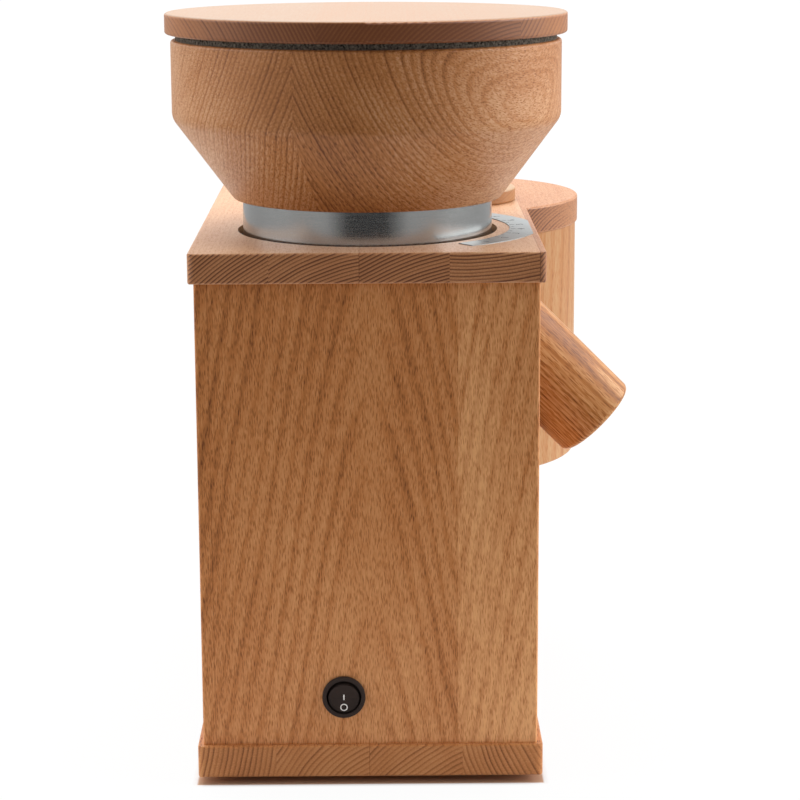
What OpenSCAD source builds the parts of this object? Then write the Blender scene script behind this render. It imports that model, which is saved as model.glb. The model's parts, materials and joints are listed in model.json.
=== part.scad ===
// Electric grain mill with a built-in roller flaker, in a beech case.
// Modelled in millimetres: Z = 0 is the floor, +X is the side with the spout,
// and the switch panel faces -Y. place() moves the middle of the footprint to the origin.

/* [Case] */
// Width of the case across its panels
case_w = 179; // [176:1:190]
// Length of the case over its end panels
case_l = 336; // [332:1:370]
// Height of the panels between the two boards
panel_h = 250; // [246:1:275]
// Thickness of the case panels
panel_t = 15; // [12:0.5:16]
// How far the top and base boards stand out past the panels
board_overhang = 3; // [2:0.5:5]
// Thickness of the top board
top_t = 16; // [14:0.5:18]
// Thickness of the base board
base_t = 17.5; // [14:0.5:22]
// Rounding of the boards' edges
edge_r = 1.2; // [0.8:0.2:3]
// Rounding of the boards' upright corners
corner_r = 4; // [3:0.5:6]
// Rounding of the case's upright corners
case_corner_r = 1.5; // [1:0.5:3]
// Side of the square glue blocks in the corners of the base
block_w = 22; // [18:1:26]
// Height of the glue blocks
block_h = 30; // [20:1:40]
// Width of a vent slot in the base
vent_w = 6; // [4:0.5:8]
// Length of a vent slot
vent_l = 84; // [60:1:100]
// Distance from one vent slot to the next
vent_pitch = 16; // [12:1:20]
// Number of vent slots under each unit
vent_n = 5; // [3:1:5]

/* [Feet] */
// Height of the rubber feet
foot_h = 4; // [3:0.5:8]
// Radius of a foot
foot_r = 10; // [8:0.5:12]
// How far the foot screws reach into the glue blocks
foot_screw_grip = 16; // [10:1:20]

/* [Mill place] */
// Distance of the mill's axis from the switch panel's face
mill_y = 89.5; // [89:0.5:92]
// Radius of the hole in the top board round the collar
mill_hole_r = 71.2; // [70.8:0.2:73]

/* [Hopper] */
// Height of the hopper's underside above the top board
hopper_lift = 18; // [15:0.5:22]
// Outer radius of the hopper
hopper_r = 105.6; // [104:0.2:112]
// Outer radius at the hopper's underside
hopper_base_r = 73; // [71:0.5:78]
// Height of the hopper from its underside to its rim
hopper_h = 85.5; // [80:0.5:110]
// Height of the outer cone
hopper_cone_h = 44; // [38:1:50]
// Rounding of the hopper's rim
hopper_rim_r = 1.5; // [1:0.5:4]
// Rounding of the hopper's lower edge
hopper_base_edge_r = 2; // [1:0.5:4]
// Rounding between the hopper's wall and its cone
hopper_bend_r = 10; // [4:0.5:11]
// Thickness of the hopper's upright wall
hopper_wall = 15; // [12:0.5:18]
// Radius of the hole in the hopper's bottom
hopper_mouth_r = 28; // [26:1:30]
// Height of the bowl's sloping bottom
bowl_cone_h = 46; // [42:1:50]
// Radius of the band of felt under the lid
gasket_r = 103; // [98:0.5:103.5]
// Width of the felt band
gasket_w = 9; // [6:0.5:11]
// Height of the felt band
gasket_h = 3.3; // [2:0.1:5]
// Radius of the hopper's lid
lid_r = 108.6; // [104:0.2:114]
// Thickness of the hopper's lid
lid_t = 11.2; // [9:0.1:16]
// Rounding of the lid's edge
lid_edge_r = 1.5; // [1:0.1:4]

/* [Adjusting thread] */
// Outer radius of the steel collar
collar_r = 68.2; // [68:0.1:68.4]
// Thickness of the steel collar
collar_wall = 1.5; // [1:0.1:1.6]
// Rise of the thread in one turn
thread_pitch = 2; // [1.5:0.1:3]
// Largest turn of the hopper in degrees
thread_turn = 270; // [180:5:300]
// Radius of the thread on the hopper's foot
thread_r = 66; // [65.6:0.1:66.2]
// Height of the threaded ring in the top board
thread_ring_h = 11.5; // [9:0.5:12]
// Radial play of the thread
thread_play = 0.05; // [0.03:0.01:0.1]
// Wall of the foot's outer rim
foot_rim_w = 6; // [5:0.5:7]
// Thickness of the foot's plate
foot_plate_t = 8; // [6:0.5:10]
// Radius of the grain throat
throat_r = 13; // [10:0.5:14]
// Wall of the throat
throat_wall = 5; // [4:0.5:6]

/* [Stones] */
// Radius of the millstones
stone_r = 42.5; // [40:0.5:44]
// Thickness of a millstone
stone_t = 20; // [18:0.5:22]
// Radius of the eye in a millstone
stone_eye_r = 13; // [13:0.5:15]
// Gap between the stones at the finest setting
stone_gap = 0.4; // [0.3:0.1:0.6]
// Number of furrows in a stone
furrow_n = 8; // [6:1:12]
// Depth of a furrow
furrow_depth = 2; // [1:0.2:3]
// Width of a furrow
furrow_w = 5; // [3:0.5:7]
// Distance by which a furrow misses the stone's axis
furrow_offset = 9; // [5:1:12]
// Thickness of the upper stone's carrier plate
carrier_t = 4.5; // [4:0.5:6]
// Radius of the carrier plate
carrier_r = 50; // [47:0.5:52]
// Radius of the guide pins' circle
guide_circle_r = 52.5; // [52:0.5:53]
// Radius of a guide pin
guide_pin_r = 1.8; // [1.5:0.1:2]
// Thickness of the spring wire
spring_wire = 1; // [0.8:0.1:1.2]
// Number of turns in a spring
spring_turns = 4; // [3:1:6]
// Thickness of the hub under the lower stone
hub_t = 5; // [4:0.5:7]
// Reach of the sweeper arms
sweeper_r = 54.5; // [52:0.5:56]
// Width of a sweeper arm
sweeper_w = 8; // [6:0.5:10]
// Height of a sweeper's blade
sweeper_h = 12; // [8:0.5:16]
// Gap between the hub and the chamber's floor
sweeper_gap = 1; // [0.6:0.1:2]

/* [Grinding chamber] */
// Inner radius of the chamber
chamber_r = 58; // [57.5:0.5:59]
// Wall of the chamber
chamber_wall = 4; // [3:0.5:5]
// Thickness of the chamber's floor
chamber_floor_t = 5; // [4:0.5:6]
// Gap between the chamber's flange and the side panels
flange_gap = 1; // [0.8:0.2:3]
// Length of the flange from end panel to flaker
flange_l = 147; // [143:0.5:148]
// Thickness of the flange
flange_t = 6; // [5:0.5:7]
// Distance of the flange screws from the flange's edges
flange_screw_inset = 11.5; // [9.5:0.5:13]

/* [Spout] */
// Outer radius of the spout
spout_r = 25; // [23:0.5:26]
// Radius of the spout's bore
spout_bore_r = 19; // [16:0.5:20]
// Slope of the spout below level
spout_angle = 45; // [42:1:48]
// Length of the spout outside the case, along its axis
spout_l = 53; // [45:1:70]
// Drop from the top board to the point where the spout's axis leaves the case
spout_drop = 54.5; // [51.5:0.5:56.5]
// Rounding of the spout's rim
spout_rim_r = 3; // [1.5:0.5:3]

/* [Scale plate] */
// Inner radius of the plate round the mill's axis
scale_in_r = 78; // [75:0.5:79]
// Radius of the plate's outer edge
scale_out_r = 83; // [81:0.5:84]
// Distance of the outer edge's centre from the mill's axis
scale_offset = 10.5; // [9:0.5:12]
// Width of wood left between the plate and the board's side
scale_margin = 3; // [2:0.5:4]
// Half of the angle that the plate covers
scale_half_angle = 52; // [40:1:54]
// Thickness of the plate
scale_t = 1; // [0.8:0.1:1.5]
// How far the plate stands above the board
scale_proud = 0.4; // [0.2:0.1:0.6]

/* [Motor] */
// Outer radius of the motor
motor_r = 62; // [58:0.5:64]
// Wall of the motor's end shields
shield_wall = 4; // [3:0.5:5]
// Height of an end shield
shield_h = 20; // [20:0.5:24]
// Height of the stator core
stator_h = 60; // [50:1:66]
// Radius of the stator's bore
stator_bore_r = 34; // [30:0.5:36]
// Outer radius of the windings
winding_r = 50; // [46:0.5:51]
// Height of the windings past the core
winding_h = 10; // [6:0.5:11]
// Air gap round the rotor
rotor_gap = 0.5; // [0.3:0.1:1]
// Radius of the motor's shaft
shaft_r = 6; // [5:0.5:6.5]
// Radius of a ball bearing
bearing_r = 16; // [15:0.5:17]
// Height of a ball bearing
bearing_h = 10; // [8:0.5:11]
// Radius of the cooling fan
fan_r = 55; // [45:1:58]
// Height of the fan's blades
fan_h = 13; // [8:0.5:16]
// Number of fan blades
fan_n = 9; // [5:1:12]
// Distance of the through bolts from the motor's axis
bolt_circle_r = 56; // [55.5:0.5:57]
// Radius of the capacitor
capacitor_r = 20; // [16:0.5:22]
// Length of the capacitor
capacitor_l = 75; // [60:1:90]

/* [Flaker] */
// Radius of the rounded column at the flaker
column_r = 93.8; // [92:0.2:94.8]
// Wall of the column
column_wall = 10; // [8:0.5:12]
// Distance from the spout panel's face back to the column's axis
column_inset = 56.9; // [55.5:0.2:59.5]
// Length of the column under the top board
column_l = 141.3; // [140.5:0.2:151]
// How far the top board's rounded part stands out past the column
column_lip = 1.2; // [0.6:0.2:2]
// Distance of the grain inlet from the spout panel's inside
inlet_inset = 26.5; // [25.5:0.5:28.5]
// Distance of the grain inlet from the switch panel's face
inlet_y = 213.7; // [212:0.5:216]
// Radius of the inlet hole at the board's top
inlet_r = 33; // [31:0.5:34]
// Radius of the inlet hole at the board's underside
inlet_low_r = 22; // [20:0.5:23]
// Radius of the inlet's lid
inlet_lid_r = 40; // [38:0.5:41]
// Height of the inlet's lid above the board
inlet_lid_t = 7.8; // [5:0.1:9]
// Rounding of the inlet lid's edge
inlet_lid_edge_r = 1; // [0.6:0.2:2]
// Depth of the plug under the lid
inlet_plug_h = 5; // [4:0.5:7]
// Wall of the grain funnel
funnel_wall = 2; // [1.5:0.5:3]
// Radius of the funnel's neck
funnel_neck_r = 10; // [8:0.5:11]
// Radius of the flaking rollers
roller_r = 22; // [21:0.5:22.5]
// Working width of the rollers
roller_w = 46; // [42:0.5:46]
// Gap between the rollers
roller_gap = 0.5; // [0.4:0.1:0.8]
// Number of flutes on a roller
flute_n = 48; // [36:12:60]
// Depth of a flute
flute_depth = 0.8; // [0.4:0.1:1]
// Radius of the rollers' journals
journal_r = 6; // [5:0.5:7]
// Running play of the journals in their bushes
journal_play = 0.04; // [0.02:0.01:0.1]
// Wall of the bushes
bush_wall = 3; // [2:0.5:4]
// Drop from the top board to the rollers' axes
roller_drop = 59.5; // [57.5:0.5:61.5]
// Thickness of the roller plates
plate_t = 3; // [2.5:0.5:4]
// Half of the width of the roller plates
plate_half_w = 50; // [48:0.5:50.5]
// Number of teeth on a roller gear
gear_n = 20; // [16:2:24]
// Face width of the roller gears
gear_w = 8; // [6:0.5:9]
// Play between the gear teeth
gear_backlash = 0.25; // [0.15:0.05:0.4]
// Radius of the pillars that carry the gearbox
pillar_r = 4; // [3:0.5:4.5]
// Radius of the gearbox
gearbox_r = 37; // [36.5:0.5:38]
// Length of the gearbox
gearbox_l = 20; // [15:1:24]
// Radius of the flaker's motor
flaker_motor_r = 27; // [22:0.5:30]
// Gap between the flaker's motor and the rear panel
flaker_motor_gap = 7; // [5:1:14]
// Slope of the chute below level
chute_angle = 33; // [28:1:34]
// Width of the chute
chute_w = 50; // [44:1:52]
// Height of the chute's sides
chute_side_h = 10; // [8:0.5:11]
// Thickness of the chute's sheet
chute_t = 1.5; // [1:0.5:2]

/* [Switch] */
// Distance of the switch from the case's centre line
switch_x = -14; // [-40:1:40]
// Height of the switch above the floor
switch_z = 48; // [42:1:70]
// Radius of the switch's bezel
bezel_r = 11.5; // [11:0.5:13]
// Height of the bezel over the panel
bezel_t = 2; // [1.5:0.5:3]
// Radius of the switch's body
switch_body_r = 10.1; // [10:0.1:10.5]
// Length of the switch's body behind the panel's face
switch_body_l = 24; // [20:1:30]
// Radius of the rocker
rocker_r = 9; // [8.5:0.1:9.2]
// Tilt of the rocker to each side
rocker_tilt = 8; // [5:1:10]
// Radius of the cord gland
gland_r = 9; // [8:0.5:12]
// Height of the cord gland above the floor
gland_z = 45; // [40:1:70]

/* [Hidden] */
$fn = 96;

// Clearances
tiny = 0.01;         // overshoot of a cut past a face
fit_gap = 0.05;      // radial gap of a fixed piece in its hole
seat_gap = 0.1;      // gap between turned pieces that are fixed together
free_gap = 0.3;      // gap between curved faces on different bodies

// Levels, from the floor up
base_top_z = foot_h + base_t;
board_z = base_top_z + panel_h;
board_top_z = board_z + top_t;
hopper_z = board_top_z + hopper_lift;
rim_z = hopper_z + hopper_h;
lid_z = rim_z + gasket_h;
lift_max = thread_pitch * thread_turn / 360;

// Inside of the case
inner_w = case_w - 2 * panel_t;
inner_x = inner_w / 2;
board_w = case_w + 2 * board_overhang;
board_l = case_l + 2 * board_overhang;
flange_w = inner_w - 2 * flange_gap;
flange_screw_x = flange_w / 2 - flange_screw_inset;
flange_screw_y = flange_l / 2 - flange_screw_inset;

// Stack of the mill, hung from the underside of the top board
carrier_rise = 0.5;   // carrier's top face over the board's underside, at the finest setting
carrier_z = board_z + carrier_rise - carrier_t;
upper_stone_z = carrier_z - stone_t;
lower_stone_z = upper_stone_z - stone_gap - stone_t;
hub_z = lower_stone_z - hub_t;
chamber_floor_z = hub_z - sweeper_gap;
motor_top_z = chamber_floor_z - chamber_floor_t;
stator_z = motor_top_z - shield_h - stator_h;
motor_bottom_z = stator_z - shield_h;
bolt_r = 2.5;
bolt_head_r = 4.5;
bolt_head_h = 3.5;
fan_gap = 2;
fan_z = motor_bottom_z - bolt_head_h - fan_gap - fan_h;
foot_bottom_z = carrier_z + carrier_t;
throat_cone_h = 1.6 * foot_plate_t;
collar_gap = 1;
collar_z = board_z + thread_ring_h + collar_gap;
collar_in_r = collar_r - collar_wall;
foot_r_upper = collar_in_r - seat_gap;
boss_r = 11;          // boss of the hub in the lower stone's eye
hub_r = stone_r + 1.5;
blade_gap = 1.5;      // from the hub's rim to a sweeper's blade
nut_r = 9;
nut_h = 6;
guide_angles = [90, 210, 330];
spring_play = 0.9;
spring_r = guide_pin_r + spring_wire / 2 + spring_play;
guide_play = 0.06;
guide_grip = 3.5;     // length of a guide pin still in its bore at the coarsest setting
guide_depth = lift_max + guide_grip;
seat_boss_r = 5;
seat_boss_h = 8;
spring_h = 12.5;
seat_boss_z = carrier_z - spring_h;
screw_r = 2;
screw_head_r = 4;
screw_head_h = 2.5;
screw_l = 14;

// Spout and flaker
spout_z = board_z - spout_drop;
roller_z = board_z - roller_drop;
column_z = board_z - column_l;
column_x = case_w / 2 - column_inset;
inlet_x = inner_x - inlet_inset;
column_y = case_l + board_overhang - column_r - column_lip;
cap_r = column_r + column_lip;
roller_pitch = 2 * roller_r + roller_gap;
drive_y = inlet_y - roller_pitch / 2;
driven_y = inlet_y + roller_pitch / 2;
gear_module = roller_pitch / gear_n;
plate_front_x = inner_x - plate_t;
roller_side_gap = 1;
roller_x = plate_front_x - roller_side_gap - roller_w;
plate_rear_x = roller_x - roller_side_gap - plate_t;
plate_skirt = 12;     // height of the plates below the rollers
plate_bottom_z = roller_z - roller_r - plate_skirt;
bush_r = journal_r + journal_play + bush_wall;
journal_end_gap = 0.4;
tab_w = 10;
tab_l = 12;
plate_corner = 8;
plate_notch_z = board_z - plate_t - 5;
inlet_slope = (inlet_r - inlet_low_r) / top_t;
plug_gap = 0.5;
gear_gap = 2;
gear_x = plate_rear_x - gear_gap - gear_w;
drive_grip = 5;       // length of the drive roller's journal inside the coupling
drive_end_x = gear_x - 1 - drive_grip;
coupling_room = 18;
motor_groove_inset = 8;
pillar_l = gear_w + coupling_room;
gearbox_x = plate_rear_x - pillar_l - gearbox_l;
flaker_motor_l = gearbox_x + inner_x - flaker_motor_gap;
pillar_inset = 1;
pillar_circle_r = gearbox_r - pillar_r - pillar_inset;
pillar_angles = [60, 120, 240, 300];
funnel_gap = 2;
funnel_bottom_z = roller_z + roller_r + funnel_gap;
funnel_neck_h = 6;
chute_x = plate_rear_x + plate_t;
chute_overhang = 2;
chute_end_x = case_w / 2 + chute_overhang;
chute_run = chute_end_x - chute_x;
chute_z = plate_bottom_z;

// Switch
pivot_depth = 3;
rocker_play = 0.3;

// Footprint, for the origin
spout_tip_x = case_w / 2 + (spout_l - spout_rim_r) * cos(spout_angle)
    + (spout_r - spout_rim_r) * sin(spout_angle) + spout_rim_r;
x_low = -max(lid_r, board_w / 2);
x_high = max(spout_tip_x, lid_r);
y_low = min(mill_y - lid_r, -board_overhang);
y_high = case_l + board_overhang;

module place() translate([-(x_low + x_high) / 2, -(y_low + y_high) / 2, 0]) children();
module at_mill() place() translate([0, mill_y, 0]) children();

// Rectangle with round corners, centred on the origin
module rounded_rect(w, l, r) {
    square([w - 2 * r, l], center = true);
    square([w, l - 2 * r], center = true);
    for (x = [-1, 1], y = [-1, 1])
        translate([x * (w / 2 - r), y * (l / 2 - r)]) circle(r);
}

// Board with round corners in plan and rounded edges all round
module slab(w, l, t, corner, edge) intersection() {
    linear_extrude(t) rounded_rect(w, l, corner);
    translate([0, l / 2, t / 2]) rotate([90, 0, 0]) linear_extrude(l) rounded_rect(w, t, edge);
    translate([-w / 2, 0, t / 2]) rotate([90, 0, 90]) linear_extrude(w) rounded_rect(l, t, edge);
}

// Disc with rounded edges
module disc(r, t, edge) rotate_extrude() intersection() {
    translate([0, t / 2]) rounded_rect(2 * r, t, edge);
    square([r, t]);
}

module ring(r_out, r_in, h) rotate_extrude() translate([r_in, 0]) square([r_out - r_in, h]);

// Slot with round ends, long along X
module slot(l, w) {
    square([l - w, w], center = true);
    for (x = [-1, 1]) translate([x * (l - w) / 2, 0]) circle(w / 2);
}

// Screw with a low head, pointing up from z = 0
module screw_up(r, head_r, head_h, l) {
    translate([0, 0, -head_h]) cylinder(r = head_r, h = head_h);
    cylinder(r = r, h = l);
}

// Outline of the case's panels, as a solid between two levels
module case_block(z, h) translate([0, case_l / 2, z])
    linear_extrude(h) rounded_rect(case_w, case_l, case_corner_r);

// Solid along the spout's axis, which starts where the axis leaves the case
module along_spout() translate([case_w / 2, mill_y, spout_z])
    rotate([0, 90 + spout_angle, 0]) children();

// ---- Case ----

// The four corners, where a screw holds a foot, the base board and a glue block together
corner_inset = panel_t + block_w / 2;

module at_corners() for (x = [-1, 1], y = [0, 1])
    translate([x * (case_w / 2 - corner_inset), y == 0 ? corner_inset : case_l - corner_inset, 0])
        children();

module vents() for (unit_y = [mill_y, case_l - mill_y], i = [0 : vent_n - 1])
    translate([0, unit_y + (i - (vent_n - 1) / 2) * vent_pitch, 0])
        linear_extrude(base_top_z + 1) slot(vent_l, vent_w);

module base_board() color("burlywood") place() difference() {
    translate([0, case_l / 2, foot_h]) slab(board_w, board_l, base_t, corner_r, edge_r);
    vents();
    at_corners() translate([0, 0, foot_h - tiny]) cylinder(r = screw_r + fit_gap, h = base_t + 1);
}

module base_blocks() color("wheat") place() at_corners() difference() {
    translate([-block_w / 2, -block_w / 2, base_top_z]) cube([block_w, block_w, block_h]);
    translate([0, 0, base_top_z - 1]) cylinder(r = screw_r + fit_gap, h = foot_screw_grip + 1.5);
}

foot_recess = 1.5;

module rubber_feet() color("dimgray") place() at_corners() difference() {
    disc(foot_r, foot_h, 0.8);
    translate([0, 0, -1]) cylinder(r = screw_head_r + 0.5, h = foot_h - foot_recess + 1);
    cylinder(r = screw_r + fit_gap, h = foot_h + 1);
}

module foot_screws() color("silver") place() at_corners()
    translate([0, 0, foot_h - foot_recess]) screw_up(screw_r, screw_head_r,
        foot_h - foot_recess - 1, foot_recess + base_t + foot_screw_grip);

module switch_panel() color("peru") place() difference() {
    intersection() {
        case_block(base_top_z, panel_h);
        translate([-case_w, 0, 0]) cube([2 * case_w, panel_t, board_z + 1]);
    }
    translate([switch_x, panel_t + 1, switch_z]) rotate([90, 0, 0])
        cylinder(r = switch_body_r + fit_gap, h = panel_t + 2);
}

module end_panel() color("peru") place() intersection() {
    case_block(base_top_z, panel_h);
    translate([-case_w, case_l - panel_t, 0]) cube([2 * case_w, panel_t, board_z + 1]);
}

// Side panel between the two end panels; side is 1 for the spout side and -1 for the rear
module side_panel(side) translate([side * (inner_x + panel_t / 2), case_l / 2, base_top_z])
    translate([-panel_t / 2, -(case_l / 2 - panel_t), 0])
        cube([panel_t, case_l - 2 * panel_t, panel_h]);

module spout_panel() color("peru") place() difference() {
    side_panel(1);
    along_spout() translate([0, 0, -4 * spout_r])
        cylinder(r = spout_r + fit_gap, h = 8 * spout_r);
    translate([inner_x - 1, inlet_y - chute_w / 2 - 1, chute_end_z - window_play])
        cube([panel_t + 2, chute_w + 2, window_top_z - chute_end_z + window_play]);
}

module rear_panel() color("peru") place() difference() {
    side_panel(-1);
    translate([-case_w / 2 - 1, gland_y, gland_z]) rotate([0, 90, 0])
        cylinder(r = gland_body_r + fit_gap, h = panel_t + 2);
}

module column_shell() color("burlywood") place() difference() {
    translate([column_x, column_y, column_z]) rotate_extrude() {
        translate([column_r - column_wall, 0]) square([column_wall - edge_r, edge_r]);
        translate([column_r - edge_r, edge_r]) circle(edge_r);
        translate([column_r - column_wall, edge_r])
            square([column_wall, board_z - column_z - edge_r]);
    }
    translate([case_w / 2 - 4 * column_r, column_y - 2 * column_r, column_z - 1])
        cube([4 * column_r, 4 * column_r, board_z]);
}

// Crescent of the scale plate, grown by a margin for its recess
module scale_outline(grow) difference() {
    intersection() {
        translate([scale_offset, 0]) circle(scale_out_r + grow);
        translate([0, -scale_out_r]) square([board_w / 2 - scale_margin + grow, 2 * scale_out_r]);
        polygon([[0, 0], [2 * scale_out_r, -2 * scale_out_r * tan(scale_half_angle)],
            [2 * scale_out_r, 2 * scale_out_r * tan(scale_half_angle)]]);
    }
    circle(scale_in_r - grow);
}

module top_board() color("burlywood") place() difference() {
    union() {
        translate([0, case_l / 2, board_z]) slab(board_w, board_l, top_t, corner_r, edge_r);
        translate([column_x, column_y, board_z]) disc(cap_r, top_t, edge_r);
    }
    translate([0, mill_y, board_z - 1]) cylinder(r = mill_hole_r, h = top_t + 2);
    translate([inlet_x, inlet_y, board_z]) rotate_extrude() polygon([[0, -tiny],
        [inlet_low_r, -tiny], [inlet_low_r, 0], [inlet_r, top_t], [inlet_r, top_t + 1],
        [0, top_t + 1]]);
    translate([0, mill_y, board_top_z - scale_t + scale_proud])
        linear_extrude(scale_t) scale_outline(fit_gap);
    translate([0, mill_y, 0]) flange_holes(screw_r + fit_gap, board_z - tiny, screw_l);
    at_plate_screws() translate([0, 0, board_z - tiny])
        cylinder(r = screw_r + fit_gap, h = screw_l - plate_t);
}

module scale_plate() color("silver") at_mill()
    translate([0, 0, board_top_z - scale_t + scale_proud]) linear_extrude(scale_t) scale_outline(0);

// ---- Hopper ----

// Angle of the hopper's cone from upright
cone_angle = atan((hopper_r - hopper_base_r) / hopper_cone_h);
// Middle of the lower edge's rounding, which touches the underside and the cone
base_edge_x = hopper_base_r - hopper_base_edge_r * (1 / cos(cone_angle) - tan(cone_angle));
// Length of wall, and of cone, that the rounding between them takes up
bend_reach = hopper_bend_r * tan(cone_angle / 2);

// Half of the hopper's turned outside
module hopper_outside() {
    polygon([[0, 0], [base_edge_x, 0],
        [base_edge_x + hopper_base_edge_r * cos(cone_angle),
            hopper_base_edge_r * (1 - sin(cone_angle))],
        [hopper_r - bend_reach * sin(cone_angle), hopper_cone_h - bend_reach * cos(cone_angle)],
        [hopper_r, hopper_cone_h + bend_reach], [hopper_r, hopper_h - hopper_rim_r],
        [hopper_r - hopper_rim_r, hopper_h], [0, hopper_h]]);
    translate([base_edge_x, hopper_base_edge_r]) circle(hopper_base_edge_r);
    translate([hopper_r - hopper_bend_r, hopper_cone_h + bend_reach]) circle(hopper_bend_r);
    translate([hopper_r - hopper_rim_r, hopper_h - hopper_rim_r]) circle(hopper_rim_r);
}

// Half of the bowl turned out of it
module hopper_bowl() polygon([[0, -1], [hopper_mouth_r, -1], [hopper_mouth_r, 0],
    [hopper_r - hopper_wall, bowl_cone_h], [hopper_r - hopper_wall, hopper_h + 1],
    [0, hopper_h + 1]]);

module hopper() color("burlywood") at_mill() translate([0, 0, hopper_z]) difference() {
    rotate_extrude() difference() {
        hopper_outside();
        hopper_bowl();
    }
    hopper_screw_holes();
}

hopper_screw_circle_r = thread_r - foot_rim_w - screw_head_r - 2;
hopper_screw_n = 4;

module hopper_screw_holes() for (i = [0 : hopper_screw_n - 1]) rotate(i * 360 / hopper_screw_n)
    translate([hopper_screw_circle_r, 0, -foot_plate_t - 1])
        cylinder(r = screw_r + fit_gap, h = screw_l + 1);

module hopper_screws() color("silver") at_mill() for (i = [0 : hopper_screw_n - 1])
    rotate(i * 360 / hopper_screw_n)
        translate([hopper_screw_circle_r, 0, hopper_z - foot_plate_t])
            screw_up(screw_r, screw_head_r, screw_head_h, screw_l);

module lid_gasket() color("dimgray") at_mill() translate([0, 0, rim_z])
    ring(gasket_r, gasket_r - gasket_w, gasket_h);

module hopper_lid() color("burlywood") at_mill() translate([0, 0, lid_z])
    disc(lid_r, lid_t, lid_edge_r);

// Moulded foot under the hopper: throat, plate and the rim that carries the thread
module hopper_foot() color("dimgray") at_mill() difference() {
    rotate_extrude() {
        polygon([[throat_r, foot_bottom_z], [throat_r + throat_wall, foot_bottom_z],
            [throat_r + throat_wall, hopper_z - foot_plate_t],
            [thread_r - foot_rim_w, hopper_z - foot_plate_t],
            [thread_r - foot_rim_w, foot_bottom_z], [thread_r, foot_bottom_z],
            [thread_r, collar_z], [foot_r_upper, collar_z], [foot_r_upper, hopper_z],
            [hopper_mouth_r, hopper_z], [throat_r, hopper_z - throat_cone_h]]);
    }
    translate([0, 0, hopper_z]) hopper_screw_holes();
}

module collar_ring() color("lightgray") at_mill() translate([0, 0, collar_z])
    ring(collar_r, collar_in_r, hopper_z - collar_z);

module thread_ring() color("dimgray") at_mill() translate([0, 0, board_z])
    ring(mill_hole_r - seat_gap, thread_r + thread_play, thread_ring_h);

// ---- Stones ----

// Straight furrows that miss the axis, cut down from z = 0 into a stone
module furrows() for (i = [0 : furrow_n - 1]) rotate(i * 360 / furrow_n)
    translate([furrow_offset, stone_eye_r - 4, 0]) rotate([-90, 0, 0])
        linear_extrude(stone_r) polygon([[0, -tiny], [furrow_w, -tiny], [0, furrow_depth]]);

module upper_stone() color("gainsboro") at_mill() translate([0, 0, upper_stone_z]) difference() {
    ring(stone_r, stone_eye_r, stone_t);
    mirror([0, 0, 1]) furrows();
}

module lower_stone() color("gainsboro") at_mill() translate([0, 0, lower_stone_z]) difference() {
    ring(stone_r, stone_eye_r, stone_t);
    translate([0, 0, stone_t]) furrows();
}

// Plate that holds the upper stone, with three guide pins on its lugs
module stone_carrier() color("slategray") at_mill() {
    difference() {
        translate([0, 0, carrier_z]) {
            cylinder(r = carrier_r, h = carrier_t);
            for (a = guide_angles) rotate(a) translate([guide_circle_r, 0, 0])
                cylinder(r = seat_boss_r - 0.5, h = carrier_t);
        }
        translate([0, 0, carrier_z - 1]) cylinder(r = throat_r, h = carrier_t + 2);
    }
    for (a = guide_angles) rotate(a) translate([guide_circle_r, 0, seat_boss_z - guide_depth])
        cylinder(r = guide_pin_r, h = carrier_z - seat_boss_z + guide_depth + tiny);
}

// Helical spring with k-sided wire, standing on z = 0
module helix_spring(r, wire, h, turns, steps = 12, k = 5) {
    last = turns * steps;
    rise = h - wire;
    points = [for (i = [0 : last], j = [0 : k - 1])
        let (a = 360 * i / steps, b = 360 * j / k, rr = r + wire / 2 * cos(b))
        [rr * cos(a), rr * sin(a), wire / 2 + rise * i / last + wire / 2 * sin(b)]];
    faces = concat([[for (j = [0 : k - 1]) j]], [[for (j = [k - 1 : -1 : 0]) last * k + j]],
        [for (i = [0 : last - 1], j = [0 : k - 1])
            [i * k + j, (i + 1) * k + j, (i + 1) * k + (j + 1) % k, i * k + (j + 1) % k]]);
    polyhedron(points, faces);
}

module carrier_springs() color("silver") at_mill() for (a = guide_angles) rotate(a)
    translate([guide_circle_r, 0, seat_boss_z])
        helix_spring(spring_r, spring_wire, carrier_z - seat_boss_z, spring_turns);

// Drive plate under the lower stone, with its boss and three sweeper arms
module stone_hub() color("slategray") at_mill() difference() {
    union() {
        translate([0, 0, hub_z]) cylinder(r = hub_r, h = hub_t);
        translate([0, 0, hub_z]) cylinder(r = boss_r, h = hub_t + stone_t - nut_h / 2);
        for (i = [0 : 2]) rotate(i * 120) {
            translate([stone_r - sweeper_w / 2, -sweeper_w / 2, hub_z])
                cube([sweeper_r - stone_r + sweeper_w / 2, sweeper_w, hub_t]);
            translate([hub_r + blade_gap, -sweeper_w / 2, hub_z])
                cube([sweeper_r - hub_r - blade_gap, sweeper_w / 3, sweeper_h]);
        }
    }
    translate([0, 0, hub_z - 1]) cylinder(r = shaft_r + fit_gap, h = hub_t + stone_t + 2);
}

module shaft_nut() color("silver") at_mill()
    translate([0, 0, hub_z + hub_t + stone_t - nut_h / 2]) difference() {
        cylinder(r = nut_r, h = nut_h, $fn = 6);
        translate([0, 0, -1]) cylinder(r = shaft_r + fit_gap, h = nut_h + 2);
    }

// ---- Grinding chamber ----

module flange_holes(r, z, h) for (x = [-1, 1], y = [-1, 1])
    translate([x * flange_screw_x, y * flange_screw_y, z]) cylinder(r = r, h = h);

module motor_bolt_places() for (i = [0 : 3]) rotate(45 + i * 90)
    translate([bolt_circle_r, 0, 0]) children();

outlet_wall = 3;
flange_corner_r = 12;

// Everything between the mill's axis and the side panel, for trimming the outlet
module outlet_space(top) translate([0, -spout_r * 2, 0])
    cube([inner_x - free_gap, spout_r * 4, top]);

module mill_spout_axis() translate([case_w / 2, 0, spout_z])
    rotate([0, 90 + spout_angle, 0]) children();

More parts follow.
